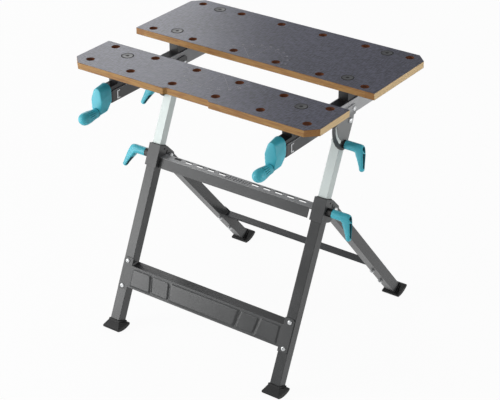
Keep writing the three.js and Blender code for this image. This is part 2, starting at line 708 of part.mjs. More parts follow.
/** The short inner plate that carries the other end of the pivot bolt. */
function hingePlate(sign) {
  const [tabY, tabZ] = PLATE_RIVET;
  const shape = outlineRound([
    [0, 0, PLATE_PIVOT_RADIUS], [tabY, tabZ, PLATE_TAB_RADIUS], [-tabY, tabZ, PLATE_TAB_RADIUS],
  ]);
  shape.holes.push(roundHole(0, 0, BOLT_RADIUS + PIN_PLAY));
  return joggledPlate(shape, -sign);
}

function clampRail(sign) {
  const mouth = RAIL_HALF - RAIL_WALL - RAIL_LIP;
  const section = sheetSection([
    [-mouth, RAIL_TOP], [-RAIL_HALF, RAIL_TOP], [-RAIL_HALF, RAIL_ABOVE_PIVOT], [RAIL_HALF, RAIL_ABOVE_PIVOT],
    [RAIL_HALF, RAIL_TOP], [mouth, RAIL_TOP],
  ], RAIL_WALL);
  const rear = CARRIAGE_REAR + RAIL_TAIL;
  const wall = [BLOCK_REAR + GAP, rear, RAIL_TOP - RAIL_WALL, RAIL_TOP + RAIL_RISE];
  const rail = join(prismY(section, RAIL_FRONT, rear), block(-RAIL_HALF, RAIL_WALL - RAIL_HALF, ...wall),
    block(RAIL_HALF - RAIL_WALL, RAIL_HALF, ...wall));
  const [from, to] = sign > 0 ? [0, RAIL_WIDTH] : [-RAIL_WIDTH, 0];
  const rivetHole = rodX(RIVET_RADIUS + PIN_PLAY, from, to, ...PLATE_RIVET);
  return cut(rail, rivetHole);
}

function rivet() {
  const seat = RAIL_HALF + GAP + PLATE_SHEET;
  const shank = rodX(RIVET_RADIUS, RAIL_HALF - RAIL_WALL, seat + 1);
  return join(shank, domedHead(seat + GAP, RIVET_HEAD_RADIUS, RIVET_HEAD_HEIGHT));
}

// Jaws

/**
 * A moulding that runs in a rail from y0 to y1, with posts up to the board at the given [from, to] spans
 * and a saddle of the given height on the rail's lips, from y0 to saddleRear.
 */
function railBlock(y0, y1, [saddleRear, saddleHeight], posts) {
  const fit = RAIL_HALF - RAIL_WALL - SLIDE_PLAY;
  const neck = fit - RAIL_LIP;
  const slider = block(-fit, fit, y0, y1, RAIL_ABOVE_PIVOT + RAIL_WALL + GAP, RAIL_TOP - RAIL_WALL - GAP);
  const stem = block(-neck, neck, y0, y1, SPINDLE_HEIGHT, RAIL_TOP + 1);
  const half = POST_WIDTH / 2;
  const deck = RAIL_TOP + GAP;
  const saddle = block(-half, half, y0, saddleRear, deck, deck + saddleHeight);
  const uprights = posts.map(([from, to]) => block(-half, half, from, to, deck, BOARD_UNDER - GAP));
  return join(slider, stem, saddle, ...uprights);
}

function spindleBore(y0, y1) {
  return rodY(SPINDLE_RADIUS + SLIDE_PLAY, y0 - 1, y1 + 1, 0, SPINDLE_HEIGHT);
}

function frontJawBlock() {
  const front = RAIL_FRONT - GAP - BLOCK_PLATE;
  const boltY = BOARD_FRONT + FRONT_BOLT_ROW;
  const posts = [BLOCK_FRONT_POST.map((y) => front + y), [boltY - POST_HALF, BLOCK_REAR]];
  const body = railBlock(front, BLOCK_REAR, [BLOCK_REAR, BLOCK_SADDLE], posts);
  const plate = block(-RAIL_HALF, RAIL_HALF, front, front + BLOCK_PLATE, RAIL_ABOVE_PIVOT, RAIL_TOP);
  return cut(join(body, plate), spindleBore(front, BLOCK_REAR), boltShaft(0, boltY));
}

function jawCarriage() {
  const [frontBolt, rearBolt] = REAR_BOLT_ROWS.map((row) => REAR_BOARD_FRONT + row);
  const posts = [
    [frontBolt - CARRIAGE_POST_HALF, frontBolt + CARRIAGE_POST_HALF], [rearBolt - POST_HALF, CARRIAGE_REAR],
  ];
  const body = railBlock(CARRIAGE_FRONT, CARRIAGE_REAR, [posts[0][1], CARRIAGE_SADDLE], posts);
  const bore = spindleBore(CARRIAGE_FRONT, CARRIAGE_REAR);
  return cut(body, bore, boltShaft(0, frontBolt), boltShaft(0, rearBolt));
}

/** A board from y0 to y1 with rows of dog holes and seats for its flush bolts. */
function board(shape, y0, holeRows, boltRows) {
  for (const row of holeRows) {
    for (let i = 0; i < DOG_HOLES; i += 1) {
      const x = DOG_HOLE_PITCH * (i - (DOG_HOLES - 1) / 2);
      shape.holes.push(roundHole(x, y0 + row, DOG_HOLE_RADIUS, HOLE_SIDES));
    }
  }
  const seats = boltRows.flatMap((row) => [-SIDE_X, SIDE_X].map((x) => boardBoltHole(x, y0 + row)));
  return cut(prismZ(shape, BOARD_UNDER, BOARD_TOP), ...seats);
}

function frontBoard() {
  const half = BOARD_LENGTH / 2;
  const front = BOARD_FRONT;
  const rear = front + FRONT_BOARD_DEPTH;
  const [recess, deep] = RECESS;
  const shape = outline([
    [-half + CORNER_CHAMFER, front], [-recess / 2, front], [deep - recess / 2, front + deep],
    [recess / 2 - deep, front + deep], [recess / 2, front], [half - CORNER_CHAMFER, front],
    [half, front + CORNER_CHAMFER], [half, rear], [-half, rear], [-half, front + CORNER_CHAMFER],
  ]);
  return board(shape, front, FRONT_HOLE_ROWS, [FRONT_BOLT_ROW]);
}

function rearBoard() {
  const half = BOARD_LENGTH / 2;
  const rear = REAR_BOARD_REAR;
  const shape = outline([
    [-half, REAR_BOARD_FRONT], [half, REAR_BOARD_FRONT], [half, rear - CORNER_CHAMFER],
    [half - CORNER_CHAMFER, rear],
    [CORNER_CHAMFER - half, rear], [-half, rear - CORNER_CHAMFER],
  ]);
  return board(shape, REAR_BOARD_FRONT, REAR_HOLE_ROWS, REAR_BOLT_ROWS);
}

// Spindles, cranks and knobs; their frame is on the spindle's axis at the crank's rear face

function spindle() {
  const rod = rodY(SPINDLE_RADIUS, 2 * GAP - CRANK_BORE, CARRIAGE_FRONT + SPINDLE_ENGAGED - CRANK_REAR);
  const seat = BLOCK_REAR + GAP - CRANK_REAR;
  return join(rod, rodY(SPINDLE_COLLAR[0], seat, seat + SPINDLE_COLLAR[1]));
}

function crankHandle() {
  const discs = [...CRANK_REAR_DISCS, ...CRANK_FRONT_DISCS];
  const body = skin(discs.flatMap(([ahead, z, radius]) => ringAcrossY(0, -ahead, z, radius)));
  const bore = rodY(SPINDLE_RADIUS + GAP, -CRANK_BORE, 1);
  const tip = -CRANK_FACE - KNOB_STANDOFF - KNOB_PIN_LENGTH;
  return cut(join(body, rodY(KNOB_PIN_RADIUS, tip, -CRANK_FACE / 2, 0, -CRANK_THROW)), bore);
}

function crankKnob() {
  const r = KNOB_RADIUS;
  const long = KNOB_LENGTH;
  const shape = turned([
    [0, 0], [KNOB_NECK - 0.8, 0], [KNOB_NECK, 0.02 * long], [KNOB_NECK, 0.1 * long], [0.83 * r, 0.3 * long],
    [0.96 * r, 0.5 * long], [r, 0.66 * long], [0.96 * r, 0.79 * long], [0.8 * r, 0.9 * long],
    [0.47 * r, 0.975 * long], [0, long],
  ]);
  shape.rotateZ(Math.PI);
  const bore = rodY(KNOB_PIN_RADIUS + SLIDE_PLAY, -KNOB_PIN_LENGTH - 1, 1);
  return cut(solid(shape), bore);
}

// Assembly

const bench = new THREE.Group();

// Front frame, in the frame of the leaning front legs
const frontFrame = frameAt(bench, 0, 0, 0, -FRONT_LEAN);
for (const [side, sign] of SIDES) {
  const leg = frameAt(frontFrame, sign * SIDE_X, 0, 0);
  piece(leg, `front_leg_${side}`, frontLeg(sign), framePaint);
  piece(leg, `front_foot_${side}`, foot(1), blackPlastic);
  piece(leg, `leg_bracket_${side}`, legBracket(sign), framePaint);
  piece(leg, `guide_bush_${side}`, guideBush(), blackPlastic);
  const fold = outwardAt(leg, sign, FOLD_PIVOT[0], BRACKET_TOP - FOLD_PIVOT[1]);
  piece(fold, `fold_pivot_bolt_${side}`, throughBolt(-BRACKET_HALF, BRACKET_HALF), zinc);

  const heightHub = outwardAt(leg, sign, 0, HEIGHT_LEVER_ALONG);
  const heightSeat = BRACKET_HALF + GAP;
  const heightRoot = heightSeat + HEIGHT_COLLAR + GAP;
  const heightCollar = frameAt(heightHub, heightSeat, 0, 0);
  piece(heightCollar, `height_lever_collar_${side}`, collar(HEIGHT_COLLAR), blackPlastic);
  const heightEnd = heightRoot + LEVER_BORE - 2 * GAP;
  piece(heightHub, `height_clamp_screw_${side}`, rodX(BOLT_RADIUS, TUBE_HALF + GAP, heightEnd), zinc);
  piece(frameAt(heightHub, heightRoot, 0, 0), `height_lever_${side}`, lever(), teal);

  // Telescopic tube, in a frame on the tilt pivot
  const tube = frameAt(leg, 0, 0, PIVOT_ALONG);
  piece(tube, `inner_tube_${side}`, innerTube(), brightTube);
  const pivot = outwardAt(tube, sign, 0, 0);
  piece(pivot, `tilt_pivot_bolt_${side}`, throughBolt(-PLATE_OUTER, PLATE_OUTER), zinc);
  const tiltHub = outwardAt(tube, sign, 0, -LEVER_FROM_PIVOT);
  const tiltSeat = PLATE_OUTER + GAP;
  const tiltRoot = tiltSeat + TILT_COLLAR + GAP;
  piece(frameAt(tiltHub, tiltSeat, 0, 0), `tilt_lever_collar_${side}`, collar(TILT_COLLAR), blackPlastic);
  const clampHead = rodX(CLAMP_HEAD_RADIUS, -TUBE_HALF - GAP - CLAMP_HEAD, -TUBE_HALF - GAP);
  const clampRod = rodX(BOLT_RADIUS, -TUBE_HALF - CLAMP_HEAD, tiltRoot + LEVER_BORE - 2 * GAP);
  piece(tiltHub, `tilt_clamp_screw_${side}`, join(clampRod, clampHead), zinc);
  piece(frameAt(tiltHub, tiltRoot, 0, 0), `tilt_lever_${side}`, lever(), teal);
}
piece(frontFrame, "tool_tray", toolTray(), framePaint);
piece(frontFrame, "front_brace", brace(BRACE_LOW, FRONT_LEAN, -1, BRACE_OVERLAP), framePaint);

// Rear legs, hung from the fold pivot so that the same feet stand on the floor
const foldPivot = new THREE.Vector3(0, FOLD_PIVOT[0], BRACKET_TOP - FOLD_PIVOT[1]);
foldPivot.applyAxisAngle(X, -FRONT_LEAN);
const [soleY, soleZ] = soleCentre();
const rearStart = SOLE_RADIUS + soleY * Math.sin(REAR_LEAN) - soleZ * Math.cos(REAR_LEAN);
const rearAlong = (foldPivot.z - rearStart) / Math.cos(REAR_LEAN);
const rearFrame = frameAt(bench, 0, foldPivot.y + rearAlong * Math.sin(REAR_LEAN), rearStart, REAR_LEAN);
for (const [side, sign] of SIDES) {
  const leg = frameAt(rearFrame, sign * SIDE_X, 0, 0);
  const tube = roundedTube(LEG_SIZE, LEG_WALL, LEG_START, rearAlong);
  const pivotHole = rodX(BOLT_RADIUS + PIN_PLAY, -LEG_SIZE, LEG_SIZE, 0, rearAlong);
  piece(leg, `rear_leg_${side}`, cut(tube, pivotHole), framePaint);
  piece(leg, `rear_foot_${side}`, foot(-1), blackPlastic);
}
const rearBraceLow = rearAlong - REAR_BRACE_BELOW_PIVOT;
piece(rearFrame, "rear_brace", brace(rearBraceLow, REAR_LEAN, 1, REAR_BRACE_OVERLAP), framePaint);

// Table, level in a frame on the tilt pivot
const pivotY = PIVOT_ALONG * Math.sin(FRONT_LEAN);
const pivotZ = PIVOT_ALONG * Math.cos(FRONT_LEAN);
const table = frameAt(bench, 0, pivotY, pivotZ);
piece(table, "front_jaw_board", frontBoard(), laminate);
piece(table, "rear_jaw_board", rearBoard(), laminate);
for (const [side, sign] of SIDES) {
  const half = frameAt(table, sign * SIDE_X, 0, 0);
  piece(half, `clamp_rail_${side}`, clampRail(sign), framePaint);
  piece(half, `front_jaw_block_${side}`, frontJawBlock(), blackPlastic);
  piece(half, `jaw_carriage_${side}`, jawCarriage(), blackPlastic);
  piece(half, `tilt_plate_${side}`, tiltPlate(sign), framePaint);
  piece(half, `hinge_plate_${side}`, hingePlate(sign), framePaint);
  piece(outwardAt(half, sign, ...PLATE_RIVET), `plate_rivet_${side}`, rivet(), zinc);
  const boltRows = [
    ["front_board_bolt", BOARD_FRONT + FRONT_BOLT_ROW],
    ["rear_board_front_bolt", REAR_BOARD_FRONT + REAR_BOLT_ROWS[0]],
    ["rear_board_rear_bolt", REAR_BOARD_FRONT + REAR_BOLT_ROWS[1]],
  ];
  for (const [name, y] of boltRows) piece(frameAt(half, 0, y, 0), `${name}_${side}`, boardBolt(), darkDisc);
  const crank = frameAt(half, 0, CRANK_REAR, SPINDLE_HEIGHT);
  piece(crank, `spindle_${side}`, spindle(), zinc);
  piece(crank, `crank_handle_${side}`, crankHandle(), teal);
  const knob = frameAt(crank, 0, -CRANK_FACE - KNOB_STANDOFF, -CRANK_THROW);
  piece(knob, `crank_knob_${side}`, crankKnob(), teal);
}

// The origin is the middle of the bench's footprint.
const workbench = new THREE.Group();
workbench.name = "folding_workbench";
workbench.add(bench);
workbench.updateMatrixWorld(true);
const extent = new THREE.Box3().setFromObject(workbench, true);
bench.position.y = -(extent.min.y + extent.max.y) / 2;
workbench.updateMatrixWorld(true);

export default workbench;
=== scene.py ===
"""Looks of a folding workbench: finishes, printed scales, threads, levers, cranks and fasteners."""
import json
import logging
import math
from collections.abc import Mapping, Sequence
from dataclasses import dataclass, field
from enum import Enum
from typing import Any

import bpy
import numpy as np
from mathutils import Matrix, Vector


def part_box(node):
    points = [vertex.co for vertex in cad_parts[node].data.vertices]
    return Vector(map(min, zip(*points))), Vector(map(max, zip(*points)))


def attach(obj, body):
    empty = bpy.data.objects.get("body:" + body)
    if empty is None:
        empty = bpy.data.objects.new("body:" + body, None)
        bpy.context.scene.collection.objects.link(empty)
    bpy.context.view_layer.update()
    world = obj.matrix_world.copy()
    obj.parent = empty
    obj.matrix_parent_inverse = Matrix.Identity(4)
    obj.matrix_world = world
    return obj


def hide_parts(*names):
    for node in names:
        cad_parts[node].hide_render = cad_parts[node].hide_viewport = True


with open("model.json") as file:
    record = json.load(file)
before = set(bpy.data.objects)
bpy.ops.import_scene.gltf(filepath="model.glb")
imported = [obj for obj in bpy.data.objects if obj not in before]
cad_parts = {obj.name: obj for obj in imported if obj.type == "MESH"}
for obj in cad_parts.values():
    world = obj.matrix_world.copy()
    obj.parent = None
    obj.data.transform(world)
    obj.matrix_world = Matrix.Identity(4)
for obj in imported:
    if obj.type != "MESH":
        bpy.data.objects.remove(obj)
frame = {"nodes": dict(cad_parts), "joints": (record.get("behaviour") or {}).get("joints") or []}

LOG = logging.getLogger("workbench")
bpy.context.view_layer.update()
SIDES = {"L": -1.0, "R": 1.0}
MILLIMETRES = 1000.0
WHITE = (1.0, 1.0, 1.0)
UP = (0.0, 0.0, 1.0)
Array = np.ndarray
Triple = tuple[float, float, float]
Span = tuple[float, float]
Material = bpy.types.Material
Socket = bpy.types.NodeSocket


class End(Enum):
    """Front or rear of the bench, as a sign along its depth."""

    FRONT = -1.0
    REAR = 1.0


class Slot(Enum):
    """The record's slots of finishes."""

    PAINT = "frame_paint"
    TUBE = "bright_tube"
    TEAL = "teal_plastic"
    BLACK = "black_plastic"
    ZINC = "zinc_steel"
    DISC = "bolt_disc"
    LAMINATE = "laminate"


def srgb(red: float, green: float, blue: float) -> Triple:
    """Linear colour of an 8-bit display colour."""
    value = np.array([red, green, blue]) / 255.0
    linear = np.where(value <= 0.04045, value / 12.92, ((value + 0.055) / 1.055) ** 2.4)
    return tuple(float(v) for v in linear)


def scaled(colour: Triple, factor: float, lift: float = 0.0) -> Triple:
    """A colour times a factor, plus a lift."""
    return tuple(factor * c + lift for c in colour)


def smoothstep(x: Array, low: Any, high: Any) -> Array:
    """Cubic ramp from 0 at low to 1 at high."""
    t = np.clip((x - low) / (high - low), 0.0, 1.0)
    return t * t * (3.0 - 2.0 * t)


def falloff(x: Array, low: Any, high: Any) -> Array:
    """Cubic ramp from 1 at low to 0 at high."""
    return 1.0 - smoothstep(x, low, high)


def around(steps: int) -> Array:
    """Angles of so many even steps round a full turn."""
    return np.linspace(0.0, 2.0 * np.pi, steps, endpoint=False)


def gathered(rows: Any, key: str) -> Array:
    """Three numbers of each row of a mesh's points or faces."""
    values = np.empty(len(rows) * 3)
    rows.foreach_get(key, values)
    return values.reshape(-1, 3)


def axes_about(direction: Sequence[float]) -> tuple[Array, Array, Array]:
    """Two unit vectors across a direction, and the direction, as a right-handed set.

    Args:
        direction: any vector but zero.

    Returns:
        The three unit vectors.
    """
    w = np.array(direction, float)
    w /= np.linalg.norm(w)
    u = np.cross([1.0, 0.0, 0.0] if abs(w[0]) < 0.9 else [0.0, 1.0, 0.0], w)
    u /= np.linalg.norm(u)
    return u, np.cross(w, u), w


class Expr:
    """A shader value: arithmetic on it adds Math nodes to its tree."""

    def __init__(self, tree: "Tree", socket: Socket) -> None:
        """Wrap one output socket of a tree."""
        self.tree = tree
        self.socket = socket

    def _math(self, operation: str, *terms: Any) -> "Expr":
        """Add one Math node for the given terms."""
        made = self.tree.node("ShaderNodeMath", {"operation": operation}, dict(enumerate(terms)))
        return Expr(self.tree, made.outputs[0])

    def __add__(self, other: Any) -> "Expr":
        """Sum."""
        return self._math("ADD", self, other)

    __radd__ = __add__

    def __sub__(self, other: Any) -> "Expr":
        """Difference."""
        return self._math("SUBTRACT", self, other)

    def __rsub__(self, other: Any) -> "Expr":
        """Difference with the terms the other way round."""
        return self._math("SUBTRACT", other, self)

    def __mul__(self, other: Any) -> "Expr":
        """Product."""
        return self._math("MULTIPLY", self, other)

    __rmul__ = __mul__

    def __abs__(self) -> "Expr":
        """Size without its sign."""
        return self._math("ABSOLUTE", self)

    def __gt__(self, other: Any) -> "Expr":
        """1 where the value is greater, else 0."""
        return self._math("GREATER_THAN", self, other)

    def __lt__(self, other: Any) -> "Expr":
        """1 where the value is less, else 0."""
        return self._math("LESS_THAN", self, other)

    def ramp(self, low: float, high: float, start: float = 0.0, end: float = 1.0) -> "Expr":
        """Smooth step from start at low to end at high.

        Args:
            low, high: where the step begins and ends.
            start, end: its values there.

        Returns:
            The stepped value.
        """
        inputs = {"Value": self, "From Min": low, "From Max": high, "To Min": start, "To Max": end}
        made = self.tree.node("ShaderNodeMapRange", {"interpolation_type": "SMOOTHSTEP"}, inputs)
        return Expr(self.tree, made.outputs[0])


class Tree:
    """The node tree of a material, read on Object coordinates, or of the surround."""

    def __init__(self, owner: Material | bpy.types.World, coordinates: str = "Object") -> None:
        """Empty a tree and split its coordinates.

        Args:
            owner: the material or world whose tree it is.
            coordinates: which texture coordinates it reads.
        """
        owner.use_nodes = True
        self.owner = owner
        self.nodes = owner.node_tree.nodes
        self.nodes.clear()
        self.place = self.node("ShaderNodeTexCoord").outputs[coordinates]
        split = self.node("ShaderNodeSeparateXYZ", {}, {0: self.place})
        self.x, self.y, self.z = (Expr(self, out) for out in split.outputs)

    @classmethod
    def material(cls, name: str) -> "Tree":
        """The tree of a new material."""
        return cls(bpy.data.materials.new(name))

    def node(
        self, kind: str, settings: Mapping[str, Any] | None = None, inputs: Mapping[Any, Any] | None = None
    ) -> bpy.types.Node:
        """Add a node, set its settings, then its sockets.

        Args:
            kind: the node's type name.
            settings: attributes of the node, set first.
            inputs: values, sockets or expressions by socket name or number.

        Returns:
            The new node.
        """
        made = self.nodes.new(kind)
        for key, value in (settings or {}).items():
            setattr(made, key, value)
        for key, value in (inputs or {}).items():
            socket = made.inputs[key]
            if isinstance(value, Expr):
                value = value.socket
            if isinstance(value, Socket):
                self.owner.node_tree.links.new(value, socket)
            elif isinstance(value, tuple) and len(value) == 3 and socket.type == "RGBA":
                socket.default_value = (*value, 1.0)
            else:
                socket.default_value = value
        return made

    def noise(self, scale: float, detail: float, place: Socket | None = None) -> Expr:
        """Noise value from about 0 to 1, at so many cells per metre."""
        inputs = {"Vector": place or self.place, "Scale": scale, "Detail": detail}
        return Expr(self, self.node("ShaderNodeTexNoise", {}, inputs).outputs[0])

    def streaks(self, scale: Triple, detail: float, turn: Triple = (0.0, 0.0, 0.0)) -> Expr:
        """Noise that is stretched along turned axes.

        Args:
            scale: cells per metre along each axis.
            detail: layers of finer noise.
            turn: angles by which the axes are turned first.

        Returns:
            The noise value.
        """
        turned = self.node("ShaderNodeMapping", {}, {"Vector": self.place, "Rotation": turn})
        made = self.node("ShaderNodeMapping", {}, {"Vector": turned.outputs[0], "Scale": scale})
        return self.noise(1.0, detail, made.outputs[0])

    def cells(self, scale: float) -> Expr:
        """Distance to the nearest of scattered points, at so many per metre."""
        made = self.node("ShaderNodeTexVoronoi", {}, {"Vector": self.place, "Scale": scale})
        return Expr(self, made.outputs["Distance"])

    def attribute(self, name: str) -> Expr:
        """A number that the mesh keeps at each point."""
        made = self.node("ShaderNodeAttribute", {"attribute_name": name})
        return Expr(self, made.outputs["Fac"])

    def mix(self, factor: Any, first: Any, second: Any) -> Socket:
        """Colour between two colours."""
        made = self.node("ShaderNodeMix", {"data_type": "RGBA"}, {0: factor, 6: first, 7: second})
        return made.outputs[2]

    def blend(self, factor: Any, first: bpy.types.Node, second: bpy.types.Node) -> bpy.types.Node:
        """Shader between two shaders."""
        return self.node("ShaderNodeMixShader", {}, {0: factor, 1: first.outputs[0], 2: second.outputs[0]})

    def bump(self, height: Expr, strength: float, depth: float, soften: float) -> Socket:
        """Normal bent by a height, after edges are softened by a radius.

        Args:
            height: the height, from about 0 to 1.
            strength: how much of the bump counts.
            depth: the height of 1, in metres.
            soften: radius of softened edges, in metres.

        Returns:
            The normal's socket.
        """
        rounded = self.node("ShaderNodeBevel", {"samples": 4}, {"Radius": soften}).outputs[0]
        inputs = {"Height": height, "Strength": strength, "Distance": depth, "Normal": rounded}
        return self.node("ShaderNodeBump", {}, inputs).outputs[0]

    def surface(self, **sockets: Any) -> Material:
        """Finish the material with a principled shader.

        Args:
            sockets: values by socket name, with _ for each blank.

        Returns:
            The material.
        """
        inputs = {key.replace("_", " "): value for key, value in sockets.items()}
        shader = self.node("ShaderNodeBsdfPrincipled", {}, inputs)
        self.node("ShaderNodeOutputMaterial", {}, {0: shader.outputs[0]})
        return self.owner


@dataclass(frozen=True)
class PowderCoat:
    """Satin powder coat: fine orange peel, small pale flecks, faint worn patches."""

    name: str
    colour: Triple
    roughness: float = 0.42
    soften: float = 0.0007
    peel_cells: float = 900.0
    peel_strength: float = 0.1
    peel_depth: float = 0.00012
    patch_cells: float = 9.0
    patch_tones: Span = (0.86, 1.12)
    fleck_cells: float = 2600.0
    fleck_share: float = 0.35

    def tone(self, tree: Tree, base: Socket) -> Socket:
        """The coat's colour under its flecks."""
        return base

    def make(self) -> Material:
        """Build the material."""
        tree = Tree.material(self.name)
        peel = tree.noise(self.peel_cells, 2.0)
        patch = tree.noise(self.patch_cells, 3.0)
        fleck = tree.noise(self.fleck_cells, 1.0).ramp(0.55, 0.75) * self.fleck_share
        base = tree.mix(patch.ramp(0.35, 0.65), *(scaled(self.colour, k) for k in self.patch_tones))
        base = tree.mix(fleck, self.tone(tree, base), scaled(self.colour, 1.5, 0.01))
        gloss = self.roughness + (patch - 0.5) * 0.18 + (peel - 0.5) * 0.06
        normal = tree.bump(peel, self.peel_strength, self.peel_depth, self.soften)
        return tree.surface(Base_Color=base, Roughness=gloss, Normal=normal)


@dataclass(frozen=True)
class MaskedCoat(PowderCoat):
    """A powder coat with a second tone where its mask says: painted light on the rails and the tray's deck, painted
    shade on the front brace's flange, and darker outside the tilt plate's slot arc.
    """

    second_tone: Triple = WHITE

    def mask(self, tree: Tree) -> Expr:
        """Where the second tone shows, from 0 to 1."""
        raise NotImplementedError

    def tone(self, tree: Tree, base: Socket) -> Socket:
        """The second tone over the first."""
        return tree.mix(self.mask(tree), base, self.second_tone)


@dataclass(frozen=True)
class RailCoat(MaskedCoat):
    """Coat of a rail: paler behind the front jaw and on the right rail as painted light, with painted highlights
    along its upper edges.
    """

    fade: Span = (-0.15, -0.04)
    edges: Span = (0.6247, 0.6320)
    highlight_band: Span = (0.0007, 0.0010)

    def mask(self, tree: Tree) -> Expr:
        """Painted light: a ramp along the rail and across to the right rail, and painted highlights in thin bands at
        its upper edges.

        Args:
            tree: the coat's tree.

        Returns:
            The mask.
        """
        # Painted light: paler toward the rear and on the right rail; painted highlights: thin bright bands along the
        # upper edges.
        rear = tree.y.ramp(*self.fade, 0.0, 0.95) * tree.x.ramp(-0.1, 0.1, 0.6, 1.0)
        lip = (abs(tree.z - self.edges[0]) < self.highlight_band[0]) * (tree.y < self.fade[0])
        crest = tree.z > self.edges[1] - self.highlight_band[1]
        return rear + (lip + crest) * (1.0 - rear)


@dataclass(frozen=True)
class PlateCoat(MaskedCoat):
    """Coat of a slotted plate, dark outside the slot's arc and paler on the tab that lies on the rail."""

    pivot: Span = (0.0, 0.0)
    arc: float = 0.0545
    tab: Span = (0.6, 0.61)
    tab_colour: Triple = srgb(186, 187, 188)

    def mask(self, tree: Tree) -> Expr:
        """Dark where the distance from the pivot is more than the arc's radius."""
        dy, dz = tree.y - self.pivot[0], tree.z - self.pivot[1]
        return (dy * dy + dz * dz > self.arc**2) * 0.9

    def tone(self, tree: Tree, base: Socket) -> Socket:
        """The tab's colour fades in over the rail's lower edge, and the dark rim lies over it."""
        return super().tone(tree, tree.mix(tree.z.ramp(*self.tab), base, self.tab_colour))


@dataclass(frozen=True)
class LevelCoat(MaskedCoat):
    """Coat of a folded sheet whose level flange has another tone than its face: painted light on the tray's upward
    deck, painted shade on the front brace's top flange.
    """

    level: float = 0.0
    half: float = 1.0

    def mask(self, tree: Tree) -> Expr:
        """1 on the flange: above its level and between its ends."""
        return (tree.z > self.level) * (abs(tree.x) < self.half)


@dataclass(frozen=True)
class Moulded:
    """Moulded plastic: fine spark grain, slight flow clouds, and painted shade where the mesh is sunk."""

    name: str
    colour: Triple
    # dark: painted shade of points that are marked sunk.
    dark: Triple
    roughness: float = 0.38
    grain: float = 0.12
    grain_cells: float = 1500.0
    grain_depth: float = 0.0001
    cloud_cells: float = 22.0
    cloud_tones: Span = (0.9, 1.08)
    soften: float = 0.0006

    def make(self) -> Material:
        """Build the material."""
        tree = Tree.material(self.name)
        grain = tree.noise(self.grain_cells, 2.0)
        cloud = tree.noise(self.cloud_cells, 3.0)
        # Painted shade: sunk points are mixed to the dark colour.
        sunk = tree.attribute("sunk")
        base = tree.mix(cloud.ramp(0.3, 0.7), *(scaled(self.colour, k) for k in self.cloud_tones))
        gloss = self.roughness + (cloud - 0.5) * 0.12 + (grain - 0.5) * 0.1 + sunk * 0.4
        normal = tree.bump(grain, self.grain, self.grain_depth, self.soften)
        return tree.surface(Base_Color=tree.mix(sunk, base, self.dark), Roughness=gloss, Normal=normal)


@dataclass(frozen=True)
class Plated:
    """Zinc-plated steel: drawn streaks along one direction, faint cloudy passivation."""

    name: str
    colour: Triple
    roughness: float
    metallic: float
    streak: Triple
    turn: Triple = (0.0, 0.0, 0.0)
    streak_strength: float = 0.12
    streak_depth: float = 0.00006
    cloud_cells: float = 16.0
    cloud_tone: float = 0.9
    soften: float = 0.0005

    def make(self) -> Material:
        """Build the material."""
        tree = Tree.material(self.name)
        drawn = tree.streaks(self.streak, 3.0, self.turn)
        cloud = tree.noise(self.cloud_cells, 4.0)
        shade = (drawn * 0.6 + cloud * 0.4).ramp(0.3, 0.7)
        base = tree.mix(shade, scaled(self.colour, self.cloud_tone), self.colour)
        gloss = self.roughness * (1.0 + (drawn - 0.5) * 0.7 + (cloud - 0.5) * 0.3)
        normal = tree.bump(drawn, self.streak_strength, self.streak_depth, self.soften)
        return tree.surface(Base_Color=base, Roughness=gloss, Metallic=self.metallic, Normal=normal)


